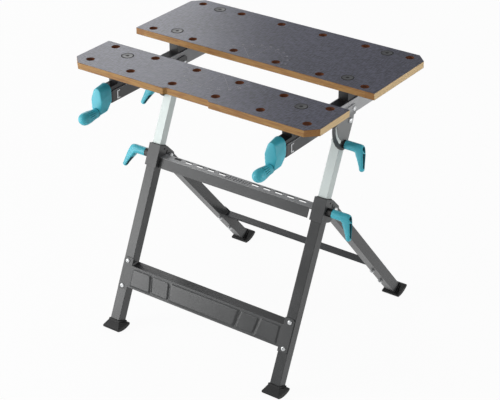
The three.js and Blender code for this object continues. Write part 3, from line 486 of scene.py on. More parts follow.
@dataclass(frozen=True)
class Panel:
    """A jaw board: speckled film above and below, bare bamboo-like core at the edges and in the holes."""

    name: str
    low: Vector
    high: Vector
    chamfer: float
    film: Triple = srgb(84, 85, 101)
    core: Triple = srgb(190, 146, 83)
    core_dark: Triple = srgb(158, 108, 57)
    # Painted light: end is the paler colour of the end faces.
    end: Triple = srgb(242, 210, 158)
    # Painted shade: bore is the darker colour of the hole walls.
    bore: Triple = srgb(106, 60, 28)
    sheen: Triple = (0.86, 0.89, 1.0)
    skin: float = 0.0004
    belly: float = 0.0003
    rim: float = 0.0019
    margin: float = 0.008
    inset: float = 0.0008
    lap: float = 0.0005
    relief: Span = (0.14, 0.00012)
    soften: float = 0.0004

    def wood(self, tree: Tree, fibre: Expr) -> Socket:
        """The core: fibres along the board, ends paler as painted light, corner cuts and holes darker as painted
        shade, a dark line under the film.

        Args:
            tree: the board's tree.
            fibre: the noise of its fibres.

        Returns:
            The colour of bare wood.
        """
        side = abs(tree.x)
        corner = self.high.x - self.chamfer
        inside = (tree.y > self.low.y + self.margin) * (tree.y < self.high.y - self.margin)
        inside = inside * (side < corner - self.inset)
        end = side > self.high.x - self.skin
        cut = (side > corner + self.lap) * (1.0 - end)
        blotch = tree.streaks((42.0, 42.0, 105.0), 3.0)
        grain = tree.streaks((900.0, 40.0, 700.0), 4.0)
        core = tree.mix((fibre * 0.75 + blotch * 0.25).ramp(0.34, 0.62), self.core_dark, self.core)
        # Painted light: the end faces are paler than the edges.
        core = tree.mix(end, core, tree.mix(grain.ramp(0.4, 0.62), scaled(self.end, 0.86), self.end))
        # Painted shade: the corner cuts are darker for the way they face.
        core = tree.mix(cut * 0.55, core, self.core_dark)
        # Painted shade: the hole walls take the darker bore colour.
        core = tree.mix(inside, core, tree.mix(fibre.ramp(0.35, 0.65), self.bore, scaled(self.bore, 1.9)))
        line = tree.z.ramp(self.high.z - self.rim, self.high.z - self.skin) * 0.6
        return tree.mix(line * (1.0 - inside), core, scaled(self.core_dark, 0.45))

    def weave(self, tree: Tree, speck: Expr, under: Expr) -> Socket:
        """The film: threads both ways with specks and clouds, pale grains on it, and darker below.

        Args:
            tree: the board's tree.
            speck: the noise of its specks.
            under: 1 on the lower face.

        Returns:
            The colour of the film.
        """
        warp = tree.streaks((60.0, 420.0, 420.0), 2.0)
        weft = tree.streaks((420.0, 60.0, 420.0), 2.0)
        cloud = tree.noise(7.0, 3.0)
        shade = (warp + weft - 1.0 + (speck - 0.5) * 0.5 + (cloud - 0.5) * 0.3).ramp(-0.22, 0.22)
        film = tree.mix(shade, scaled(self.film, 0.5), scaled(self.film, 1.55))
        film = tree.mix((tree.cells(900.0) < 0.18) * 0.35, film, scaled(self.film, 2.2))
        return tree.mix(under, film, scaled(self.film, 0.8))

    def make(self) -> Material:
        """Build the material from the board's own box, so each face knows which it is."""
        tree = Tree.material(self.name)
        above = tree.z > self.high.z - self.skin
        under = (tree.z < self.low.z + self.belly) * (1.0 - above)
        face = above + under
        bare = 1.0 - face
        fibre = tree.streaks((22.0, 300.0, 620.0), 4.0)
        speck = tree.noise(1700.0, 2.0)
        base = tree.mix(face, self.wood(tree, fibre), self.weave(tree, speck, under))
        gloss = face * (0.32 + (speck - 0.5) * 0.16) + bare * (0.62 + (fibre - 0.5) * 0.2)
        normal = tree.bump(speck * face + fibre * bare, *self.relief, self.soften)
        return tree.surface(Base_Color=base, Roughness=gloss, Normal=normal, Specular_Tint=self.sheen)


@dataclass(frozen=True)
class Ink:
    """Pale printing ink, worn thin in places."""

    name: str
    colour: Triple
    worn: Triple
    wear_cells: float = 260.0

    def make(self) -> Material:
        """Build the material."""
        tree = Tree.material(self.name)
        wear = tree.noise(self.wear_cells, 3.0).ramp(0.4, 0.68)
        return tree.surface(Base_Color=tree.mix(wear, self.colour, self.worn), Roughness=0.5 + wear * 0.1)


@dataclass
class Shell:
    """Points, faces and a sunk mark per point, gathered for one mesh."""

    points: list[Array] = field(default_factory=list)
    faces: list[Array] = field(default_factory=list)
    sunk: list[Array] = field(default_factory=list)
    count: int = 0

    def add(self, points: Array, faces: Sequence[Array], sunk: Array | None = None) -> "Shell":
        """Add a closed body.

        Args:
            points: an array of points by 3, in metres.
            faces: arrays of faces, each of one corner count.
            sunk: a number per point, 1 in a recess.

        Returns:
            This shell.
        """
        self.points.append(points)
        self.faces.extend(rows + self.count for rows in faces)
        self.sunk.append(np.zeros(len(points)) if sunk is None else sunk)
        self.count += len(points)
        return self

    def tube(self, grid: Array, sunk: Array | None = None) -> "Shell":
        """Add a tube of rings, closed by a fan of triangles at each end. It faces out when the rings advance
        along the axis and their points turn by the right hand about it.

        Args:
            grid: rings by points by 3.
            sunk: a number per point of the grid.

        Returns:
            This shell.
        """
        rows, columns = grid.shape[:2]
        i, j = np.meshgrid(np.arange(rows - 1) * columns, np.arange(columns), indexing="ij")
        k = (j + 1) % columns
        quads = np.stack([i + j, i + k, i + columns + k, i + columns + j], -1).reshape(-1, 4)
        j, k, last = j[0], k[0], (rows - 1) * columns
        start = np.stack([np.full(columns, rows * columns), k, j], -1)
        finish = np.stack([np.full(columns, rows * columns + 1), last + j, last + k], -1)
        if sunk is not None:
            sunk = np.concatenate([sunk.ravel(), [sunk[0].mean(), sunk[-1].mean()]])
        points = np.concatenate([grid.reshape(-1, 3), [grid[0].mean(0), grid[-1].mean(0)]])
        return self.add(points, [quads, start, finish], sunk)

    def turned(self, profile: Array, at: Array, direction: Sequence[float], steps: int) -> "Shell":
        """Add a solid of revolution: a ring of its radius at its height for each row of the profile.

        Args:
            profile: rows of radius, rising height and, where it has recesses, a sunk mark.
            at: the origin of the heights.
            direction: the axis.
            steps: points round each ring.

        Returns:
            This shell.
        """
        u, v, w = axes_about(direction)
        angle = around(steps)[:, None]
        ring = np.cos(angle) * u + np.sin(angle) * v
        grid = at + profile[:, :1, None] * ring + profile[:, 1:2, None] * w
        return self.tube(grid, np.repeat(profile[:, 2:], steps, 1) if profile.shape[1] > 2 else None)

    def boxes(self, centres: Array, along: Array, across: Array, up: Array) -> "Shell":
        """Add many small boxes at once: each corner is the centre plus or minus three half edges.

        Args:
            centres: boxes by 3.
            along, across, up: half edges, boxes by 3 each.

        Returns:
            This shell.
        """
        signs = np.array([[a, b, c] for a in (-1, 1) for b in (-1, 1) for c in (-1, 1)], float)
        corners = centres[:, None, :] + np.einsum("sk,nkd->nsd", signs, np.stack([along, across, up], 1))
        quads = np.array([[0, 1, 3, 2], [4, 6, 7, 5], [0, 4, 5, 1], [2, 3, 7, 6], [0, 2, 6, 4], [1, 5, 7, 3]])
        faces = np.arange(len(centres))[:, None, None] * 8 + quads
        return self.add(corners.reshape(-1, 3), [faces.reshape(-1, 4)])

    def mesh(self, name: str, angle: float) -> bpy.types.Object:
        """Make the object, smooth except at sharp edges.

        Args:
            name: the object's name.
            angle: edges sharper than this many degrees stay sharp.

        Returns:
            The object, linked to the scene.
        """
        data = bpy.data.meshes.new(name)
        faces = [tuple(row) for part in self.faces for row in part.tolist()]
        data.from_pydata(np.concatenate(self.points).tolist(), [], faces)
        data.validate()
        mark = data.attributes.new("sunk", "FLOAT", "POINT")
        mark.data.foreach_set("value", np.concatenate(self.sunk).astype(np.float32))
        data.polygons.foreach_set("use_smooth", np.ones(len(data.polygons), bool))
        data.set_sharp_from_angle(angle=math.radians(angle))
        return linked(name, data)


def linked(name: str, data: bpy.types.ID) -> bpy.types.Object:
    """A new object of some data, linked to the scene."""
    made = bpy.data.objects.new(name, data)
    bpy.context.scene.collection.objects.link(made)
    return made


def dress(node: str, material: Material) -> None:
    """Give a CAD node its finish."""
    materials = frame["nodes"][node].data.materials
    materials.clear()
    materials.append(material)


@dataclass
class Bench:
    """Sizes that the sub-assemblies share, in metres and radians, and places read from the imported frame."""

    side: float = 0.2336
    front_lean: float = math.radians(24.05)
    rear_lean: float = math.radians(40.6)
    leg_half: float = 0.0128
    brace_skin: float = 0.0149
    brace_top: float = 0.1602
    brace_half: float = 0.2173
    rail_height: float = 0.027

    def joint(self, name: str) -> Array:
        """Where a named hinge is, in metres."""
        found = next(j for j in frame["joints"] if j["name"] == name)
        return np.array(found["pos_m"], float)

    def leg_axes(self, end: End) -> tuple[Array, Array]:
        """Unit vectors up a leg, and out of its forward face.

        Args:
            end: which pair of legs.

        Returns:
            The two vectors.
        """
        lean = self.front_lean if end is End.FRONT else self.rear_lean
        s, c = end.value * math.sin(lean), math.cos(lean)
        return np.array([0.0, -s, c]), np.array([0.0, -c, -s])

    def front_point(self, along: float, proud: float, x: float = 0.0) -> Array:
        """A point of the front frame.

        Args:
            along: how far it is up the legs from the floor.
            proud: how far it is out of their axis.
            x: its place across the bench.

        Returns:
            The point.
        """
        up, out = self.leg_axes(End.FRONT)
        pivot = self.joint("table_tilt")
        return np.array([x, pivot[1], pivot[2]]) + up * (along - pivot[2] / up[2]) + out * proud


def shared_finishes(bench: Bench) -> dict[Slot, Material]:
    """One material for each slot. The laminate's is the print, because each board has a film of its own."""
    lean = (bench.front_lean, 0.0, 0.0)
    finishes = {
        Slot.PAINT: PowderCoat("graphite_powder_coat", srgb(66, 67, 68), 0.3),
        Slot.TUBE: Plated("drawn_tube", srgb(213, 221, 219), 0.56, 0.5, (1400.0, 1400.0, 10.0), lean),
        # Each moulding's second colour is the painted shade of its sunk points.
        Slot.TEAL: Moulded("teal_moulding", srgb(77, 198, 217), srgb(9, 44, 53)),
        Slot.BLACK: Moulded("black_moulding", srgb(17, 17, 18), srgb(5, 5, 6), 0.36, 0.2),
        Slot.ZINC: Plated("bright_zinc", srgb(228, 230, 231), 0.3, 0.7, (900.0, 900.0, 900.0)),
        Slot.DISC: Moulded("grey_disc", srgb(74, 76, 80), srgb(14, 14, 15), 0.34, 0.3),
        Slot.LAMINATE: Ink("scale_ink", srgb(196, 196, 200), srgb(150, 150, 156)),
    }
    return {slot: finish.make() for slot, finish in finishes.items()}


@dataclass
class Assembly:
    """What every sub-assembly starts from, and how it mounts its pieces."""

    bench: Bench
    finishes: dict[Slot, Material]

    def mount(self, shell: Shell, name: str, angle: float, body: str, slot: Slot, *nodes: str) -> None:
        """Make a piece, dress it and let it ride on its body.

        Args:
            shell: the piece's points and faces.
            name: its name.
            angle: edges sharper than this many degrees stay sharp.
            body: the CAD body that carries it.
            slot: the slot of its finish.
            nodes: CAD nodes that it stands for.
        """
        piece = shell.mesh(name, angle)
        piece.data.materials.append(self.finishes[slot])
        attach(piece, body)
        if nodes:
            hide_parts(*nodes)
        LOG.info("%s: %d faces on %s", piece.name, len(piece.data.polygons), body)


@dataclass
class Boards(Assembly):
    """The two jaw boards with their printed scales and the caps of their flush bolts."""

    chamfer: float = 0.0245
    ink: float = 0.00003
    tick_radius: float = 0.0735
    tick_halves: Span = (0.0034, 0.0019)
    rule_start: float = 0.01
    rule_half: float = 0.0305
    line_halves: Span = (0.00016, 0.00022)
    numeral_radius: float = 0.0855
    numeral_size: float = 0.0068
    numeral_step: int = 15
    cap_radius: float = 0.0144
    cap_steps: int = 48

    def digits(self, text: str) -> tuple[Array, list[Array]]:
        """Mesh of a numeral, centred, a hair thick.

        Args:
            text: the digits.

        Returns:
            Points in metres, and faces by corner count.
        """
        curve = bpy.data.curves.new("numeral", "FONT")
        curve.body = text
        curve.size = self.numeral_size
        curve.extrude = self.ink
        curve.resolution_u = 2
        curve.align_x = curve.align_y = "CENTER"
        made = linked("numeral", curve)
        bpy.context.view_layer.update()
        data = bpy.data.meshes.new_from_object(made.evaluated_get(bpy.context.evaluated_depsgraph_get()))
        points = gathered(data.vertices, "co")
        corners = [tuple(p.vertices) for p in data.polygons]
        faces = [np.array([c for c in corners if len(c) == n]) for n in sorted({len(c) for c in corners})]
        bpy.data.objects.remove(made)
        bpy.data.meshes.remove(data)
        bpy.data.curves.remove(curve)
        return points, faces

    def rays(self, degrees: Array, end: End) -> tuple[Array, Array]:
        """Unit vectors out along angles of a scale, and across them.

        Args:
            degrees: the angles.
            end: the side to which the scale opens.

        Returns:
            Both sets, angles by 3.
        """
        cos, sin = np.cos(np.radians(degrees)), end.value * np.sin(np.radians(degrees))
        level = np.zeros_like(cos)
        return np.stack([cos, sin, level], -1), np.stack([-sin, cos, level], -1)

    def scale(self, node: str, body: str, end: End) -> None:
        """A half-round protractor printed about the middle of a board's clamping edge: ticks each 3 degrees,
        numerals each 15, and rules at 45 and 90 degrees.

        Args:
            node: the board.
            body: the body that carries it.
            end: the side to which the scale opens.
        """
        low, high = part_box(node)
        centre = np.array([0.0, high.y if end is End.FRONT else low.y, high.z + self.ink])
        ticks = np.arange(6.0, 175.0, 3.0)
        degrees = np.append(ticks, [45.0, 90.0] if end is End.FRONT else [90.0, 135.0])
        ruled = (np.arange(len(degrees)) >= len(ticks))[:, None]
        marked = (degrees % self.numeral_step == 0)[:, None]
        start = np.where(ruled, self.rule_start, self.tick_radius)
        half = np.where(ruled, self.rule_half, np.where(marked, *self.tick_halves))
        width = np.where(ruled, *self.line_halves[::-1])
        out, across = self.rays(degrees, end)
        thick = np.tile([0.0, 0.0, self.ink], (len(degrees), 1))
        shell = Shell().boxes(centre + out * (start + half), out * half, across * width, thick)
        for mark in range(self.numeral_step, 180, self.numeral_step):
            points, faces = self.digits(str(min(mark, 180 - mark)))
            outward = self.rays(np.array([mark]), end)[0][0]
            x, y, _ = upright = -end.value * outward
            shell.add(centre + outward * self.numeral_radius + points @ np.array([[y, -x, 0.0], upright, UP]), faces)
        self.mount(shell, f"{body}_scale_print", 30.0, body, Slot.LAMINATE)

    def cap(self, node: str, name: str, body: str) -> None:
        """A thin cap with a centre dimple on a flush bolt: its radius and height are turned from a profile.
        Its outer ring and middle are marked sunk: painted shade of the gap round the cap and of the bolt's socket.

        Args:
            node: the bolt.
            name: the cap's name.
            body: the body that carries it.
        """
        low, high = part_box(node)
        r = self.cap_radius
        # Third column: sunk marks; the outer ring and the middle take painted shade of the rim gap and the bolt's
        # socket.
        profile = np.array([
            [r, -0.0010, 1.0], [r, 0.00010, 1.0], [r - 0.0016, 0.00040, 0.9], [r - 0.0024, 0.00040, 0.3],
            [0.75 * r, 0.00030, 0.0], [0.55 * r, 0.00016, 0.0], [0.0046, 0.00010, 0.0],
            [0.0034, 0.00008, 0.9], [0.0028, 0.00006, 1.0], [0.0002, 0.00006, 1.0],
        ])
        at = np.array([(low.x + high.x) / 2, (low.y + high.y) / 2, high.z])
        self.mount(Shell().turned(profile, at, UP, self.cap_steps), name, 40.0, body, Slot.DISC)

    def build(self) -> None:
        """Give each board its own film and core, and add what is on it."""
        for node in ("front_jaw_board", "rear_jaw_board"):
            dress(node, Panel(f"{node}_film_and_core", *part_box(node), self.chamfer).make())
        self.scale("front_jaw_board", "table", End.FRONT)
        self.scale("rear_jaw_board", "rear_jaw", End.REAR)
        bolts = {"front_board_bolt": "table", "rear_board_front_bolt": "rear_jaw", "rear_board_rear_bolt": "rear_jaw"}
        for bolt, body in bolts.items():
            for tag in SIDES:
                self.cap(f"{bolt}_{tag}", f"{bolt}_cap_{tag}", body)


@dataclass
class Levers(Assembly):
    """Clamp levers: a round barrel that ends in a flat face with the screw's pocket, and a tapering handle
    that is hollowed from the same side. Pairs of half sizes are across the bend and along its axis."""

    barrel: float = 0.0103
    straight: float = 0.0251
    bend: float = 0.018
    cant: float = math.radians(18.0)
    drop: float = 0.0478
    shoulder: Span = (0.0084, 0.0084)
    tip: Span = (0.0047, 0.0054)
    taper_lead: float = 0.006
    armpit: float = 0.0122
    armpit_lead: float = 0.6
    armpit_fade: float = 1.6
    round_tip: float = 0.0045
    collar: float = 0.93
    squareness: float = 1.6
    crispness: float = 9.0
    wall: float = 0.0021
    crease: float = 0.0006
    facing: Span = (0.1, 0.4)
    pocket: Span = (0.0062, 0.0065)
    hollow: float = 0.0052
    hollow_top: Span = (-0.0088, -0.0082)
    hollow_end: Span = (0.0068, 0.0058)
    groove: float = 0.4
    groove_top: Span = (0.006, 0.0072)
    groove_inset: float = 0.0004
    rows: int = 190
    dome_rows: int = 12
    columns: int = 168

    def surface(self, root: Array, out: Array, up: Array) -> tuple[Array, Array]:
        """The lever's skin: a superellipse carried along a straight, an arc and a straight. Its half width
        and thickness fall smoothly from the barrel to the tip. On the outside of the bend it reaches to
        where the two straight sides would meet, rounded by a p-norm; slots with even walls sink the
        handle's outer and inner sides and a round pocket sinks the end of the barrel.

        Args:
            root: where the barrel's axis meets its collar.
            out: unit vector along the barrel.
            up: unit vector up the leg.

        Returns:
            Rings of points, and how far each point is sunk from 0 to 1.
        """
        turn = math.pi / 2 - self.cant
        knee = self.straight + self.bend * turn
        handle = (self.drop + self.bend * (math.cos(turn) - 1.0)) / math.sin(turn)
        start = knee + handle - self.round_tip
        dome = start + self.round_tip * np.sin(np.linspace(0.08, 1.0, self.dome_rows) * np.pi / 2)
        s = np.concatenate([[0.0, 0.0], np.linspace(0.0005, start, self.rows), dome])[:, None]
        a = np.clip((s - self.straight) / self.bend, 0.0, turn)
        after = np.clip(s - knee, 0.0, None)
        fall = smoothstep(s, self.straight - self.taper_lead, knee)
        slim = np.clip(after / handle, 0.0, 1.0)
        wide, thick = (
            self.barrel + fall * (shoulder - self.barrel) + slim * (tip - shoulder)
            for shoulder, tip in zip(self.shoulder, self.tip)
        )
        near = np.cos(a) / (self.bend + self.barrel)
        far = np.cos(turn - a) / (self.bend + self.shoulder[0])
        reach = (near**self.crispness + far**self.crispness) ** (-1.0 / self.crispness) - self.bend
        outer = np.where((a > 0.0) & (a < turn), np.maximum(reach, wide), wide)
        deep = smoothstep(s, self.armpit_lead * self.straight, knee) * (self.armpit - self.barrel)
        slack = (1.0 - (1.0 - slim) ** self.armpit_fade) * (self.tip[0] - self.armpit)
        inner = self.barrel + deep + slack
        close = np.sqrt(np.clip(1.0 - (np.clip(s - start, 0.0, None) / self.round_tip) ** 2, 0.0004, 1.0))
        close[0] = self.collar
        angle = around(self.columns)
        cos, sin = np.cos(angle), np.sin(angle)
        power = 2.0 + self.squareness * fall
        size = close * (np.abs(cos) ** power + np.abs(sin) ** power) ** (-1.0 / power)
        rise = np.where(cos > 0, outer, inner) * size * cos
        side = thick * size * sin
        x = np.minimum(s, self.straight) + self.bend * np.sin(a) + after * math.cos(turn) + rise * np.sin(a)
        z = self.bend * (np.cos(a) - 1.0) - after * math.sin(turn) + rise * np.cos(a)
        ahead, behind = smoothstep(cos, *self.facing), smoothstep(-cos, *self.facing)
        end = falloff(after, handle - self.hollow_end[0], handle - self.hollow_end[1])
        room = thick - self.wall
        slot = ahead * end * falloff(z, *self.hollow_top) * falloff(np.abs(side), room - self.crease, room)
        dent = ahead * falloff(np.hypot(z, side), self.pocket[0] - self.crease, self.pocket[0])
        dent = dent * (s > self.straight)
        room = room - self.groove_inset
        back = behind * end * smoothstep(after, *self.groove_top)
        back = back * falloff(np.abs(side), room - self.crease, room)
        x = x - dent * self.pocket[1] - (slot - self.groove * back) * self.hollow
        grid = root + x[..., None] * out + z[..., None] * up + side[..., None] * np.cross(out, up)
        # Slots, groove and pocket are marked sunk, so the moulding paints shade in them.
        return grid, np.maximum.reduce([slot, dent, back])

    def build(self) -> None:
        """Make the four levers in place of their plain solids."""
        up, _ = self.bench.leg_axes(End.FRONT)
        for kind in ("tilt", "height"):
            for tag, sign in SIDES.items():
                name = f"{kind}_lever_{tag}"
                low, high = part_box(name)
                root = self.bench.joint(f"{name}_turn")
                root[0] = low.x if sign > 0 else high.x
                grid, sunk = self.surface(root, np.array([sign, 0.0, 0.0]), up)
                shell = Shell().tube(grid[:, ::-1], sunk[:, ::-1])
                self.mount(shell, f"{name}_grip", 55.0, name, Slot.TEAL, name)


@dataclass
class Cranks(Assembly):
    """Crank handles, spinning knobs and threaded spindles. Spans of a knob are shares of its length."""

    shell_depth: float = 0.0356
    flatness: float = 2e-5
    sharpness: float = 120.0
    pole: float = 0.02
    body_grid: tuple[int, int] = (88, 96)
    # seat: the knob's seat, whose rim shows round the knob's root as a painted shadow ring.
    seat: tuple[Span, ...] = ((0.0105, -0.001), (0.0105, 0.0006), (0.01, 0.0011), (0.004, 0.0011), (0.004, 0.03))
    seat_back: float = 0.0016
    knob_length: float = 0.053
    knob_radius: float = 0.0144
    knob_neck: float = 0.0112
    knob_swell: Span = (0.06, 0.66)
    knob_columns: int = 216
    flutes: int = 18
    flute_depth: float = 0.0007
    flute_sides: Span = (0.0003, 0.0009)
    flute_start: Span = (0.2, 0.24)
    flute_end: Span = (0.56, 0.61)
    flute_shade: float = 0.8
    rod: float = 0.005
    lead: float = 0.006
    depth: float = 0.0009
    run_out: Span = (0.004, 0.008)
    rings_per_lead: int = 10
    rod_columns: int = 28

    def body(self, node: str) -> Array:
        """A crank's skin as a gauge: along each direction the radius is 1 over the p-norm of the pulls of
        the faces of its solid, which rounds every edge a little.

        Args:
            node: the crank's CAD node, whose outer faces give the pulls.

        Returns:
            Rings of points.
        """
        data = frame["nodes"][node].data
        points = gathered(data.vertices, "co")
        normals = gathered(data.polygons, "normal")
        shell = points[points[:, 1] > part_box(node)[1].y - self.shell_depth]
        middle = (shell.min(0) + shell.max(0)) / 2
        reach = np.einsum("ij,ij->i", normals, gathered(data.polygons, "center") - middle)
        outer = (normals @ (shell - middle).T).max(1) <= reach + self.flatness
        faces = np.unique(np.round(np.c_[normals[outer], reach[outer] * MILLIMETRES], 2), axis=0)
        pull = faces[:, :3] / (faces[:, 3:] / MILLIMETRES)
        rings, columns = self.body_grid
        polar = np.linspace(self.pole, np.pi - self.pole, rings)[:, None]
        angle = around(columns)
        way = np.stack(np.broadcast_arrays(
            np.sin(polar) * np.cos(angle), np.sin(polar) * np.sin(angle), -np.cos(polar)
        ), -1)
        gauge = np.clip(np.einsum("rcd,fd->rcf", way, pull), 0.0, None)
        top = gauge.max(-1, keepdims=True)
        norm = top * ((gauge / top) ** self.sharpness).sum(-1, keepdims=True) ** (1.0 / self.sharpness)
        return middle + way / norm

    def knob(self, at: Array) -> tuple[Array, Array]:
        """A knob's skin: a neck that swells by a cubic ramp to a bulb and ends in a dome, with narrow
        flutes all round its lower half, which take painted shade.

        Args:
            at: the middle of its root face.

        Returns:
            Rings of points, and how far each is sunk.
        """
        dome = 1.0 - 0.1 * np.cos(np.linspace(0.15, 1.55, 16))
        t = np.concatenate([[0.0, 0.004, 0.014], np.linspace(0.03, 0.9, 70), dome])[:, None]
        bulb = self.knob_swell[1]
        close = np.sqrt(np.clip(1.0 - np.clip((t - bulb) / (1.0 - bulb), 0.0, 1.0) ** 2.4, 0.0004, 1.0))
        radius = (self.knob_neck + (self.knob_radius - self.knob_neck) * smoothstep(t, *self.knob_swell)) * close
        radius[0] *= 0.9
        angle = around(self.knob_columns)
        pitch = 2.0 * np.pi / self.flutes
        off = radius * np.abs((angle + pitch / 2) % pitch - pitch / 2)
        slot = smoothstep(t, *self.flute_start) * falloff(t, *self.flute_end) * falloff(off, *self.flute_sides)
        r = radius - self.flute_depth * slot
        skin = np.broadcast_arrays(r * np.cos(angle), -t * self.knob_length, r * np.sin(angle))
        return at + np.stack(skin, -1), self.flute_shade * slot

    def spindle(self, node: str) -> Shell:
        """A rod whose radius falls and rises once per lead along a helix, and is plain at its ends.

        Args:
            node: the spindle's CAD node.

        Returns:
            Its shell.
        """
        low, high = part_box(node)
        y = np.arange(low.y, high.y, self.lead / self.rings_per_lead)[:, None]
        angle = around(self.rod_columns)
        phase = (y / self.lead - angle / (2.0 * np.pi)) % 1.0
        ridge = np.clip(np.abs(phase - 0.5) * 3.2 - 0.3, 0.0, 1.0)
        r = self.rod - self.depth * ridge * smoothstep(np.minimum(y - low.y, high.y - y), *self.run_out)
        skin = np.stack(np.broadcast_arrays(r * np.cos(angle), y, -r * np.sin(angle)), -1)
        return Shell().tube(np.array([(low.x + high.x) / 2, 0.0, (low.z + high.z) / 2]) + skin)

    def build(self) -> None:
        """Make both cranks, knobs and spindles in place of their plain solids."""
        for tag in SIDES:
            body, handle, spindle = f"crank_{tag}", f"crank_handle_{tag}", f"spindle_{tag}"
            self.mount(Shell().tube(self.body(handle)), f"{body}_moulding", 50.0, body, Slot.TEAL, handle)
            pivot = self.bench.joint(f"knob_{tag}_spin")
            # The seat's black rim, a little wider than the knob's root, is a painted shadow ring in the gap under the
            # knob.
            ring = Shell().turned(np.array(self.seat), pivot + np.array([0.0, self.seat_back, 0.0]), (0, -1, 0), 40)
            self.mount(ring, f"{body}_knob_seat_shadow_ring", 40.0, body, Slot.BLACK)
            knob = Shell().tube(*self.knob(pivot))
            self.mount(knob, f"knob_{tag}_moulding", 50.0, f"knob_{tag}", Slot.TEAL, f"crank_knob_{tag}")
            self.mount(self.spindle(spindle), f"spindle_thread_{tag}", 60.0, body, Slot.ZINC, spindle)


@dataclass
class Pressings(Assembly):
    """Raised panels that are pressed into the front brace between its creases."""

    low: float = 0.1072
    height: float = 0.053
    end: float = 0.2135
    crease_high: Span = (0.102, 0.157)
    crease_low: Span = (0.095, 0.149)
    valley: float = 0.0012
    margin: Span = (0.0045, 0.0035)
    lift: float = 0.0020
    field_lift: float = 0.6
    field_base: float = -0.0007
    soft: float = 0.0045
    bury: float = 0.0004
    rows: int = 90
    columns: int = 40

    def pillow(self, shell: Shell, high: Sequence[float], low: Sequence[float], lift: float, base: float) -> None:
        """A panel between two slanting sides: its height ramps up from every side by a cubic step of the
        distance to it, and the sides meet by a p-norm.

        Args:
            shell: where the body goes.
            high: left and right ends of the upper side, in metres.
            low: left and right ends of the lower side.
            lift: height of its middle over the sheet.
            base: height of its foot over the sheet.
        """
        up, out = self.bench.leg_axes(End.FRONT)
        u = np.linspace(0.0, 1.0, self.rows)[:, None]
        v = np.linspace(1.0, 0.0, self.columns) + 0.0 * u
        left, right = (low[i] + (high[i] - low[i]) * v for i in (0, 1))
        span = self.height - sum(self.margin)
        x = left + (right - left) * u
        away = [x - left, right - x, span * v, span * (1.0 - v)]
        edge = sum(np.maximum(d, 1e-6) ** -3.0 for d in away) ** (-1.0 / 3.0)
        rise = base + (lift - base) * smoothstep(edge, 0.0, self.soft)
        along = self.low + self.margin[1] + span * v
        top = np.stack([x, along, rise], -1)
        under = np.stack([x, along, np.full_like(x, base - self.bury)], -1)[:, ::-1]
        axes = np.array([[1.0, 0.0, 0.0], up, out])
        shell.tube(self.bench.front_point(0.0, self.bench.brace_skin) + np.concatenate([top, under], 1) @ axes)

    def build(self) -> None:
        """Make the five panels."""
        shell = Shell()
        g = self.valley
        (near_high, far_high), (near_low, far_low) = self.crease_high, self.crease_low
        self.pillow(shell, (g - near_high, near_high - g), (g - near_low, near_low - g), self.lift, 0.0)
        for sign in SIDES.values():
            field_high = sorted((sign * (near_high + g), sign * (far_high - g)))
            field_low = sorted((sign * (near_low + g), sign * (far_low - g)))
            self.pillow(shell, field_high, field_low, self.field_lift * self.lift, self.field_base)
            outer_high = sorted((sign * (far_high + g), sign * self.end))
            outer_low = sorted((sign * (far_low + g), sign * self.end))
            self.pillow(shell, outer_high, outer_low, self.lift, 0.0)
        self.mount(shell, "front_brace_panels", 60.0, "front_frame", Slot.PAINT)


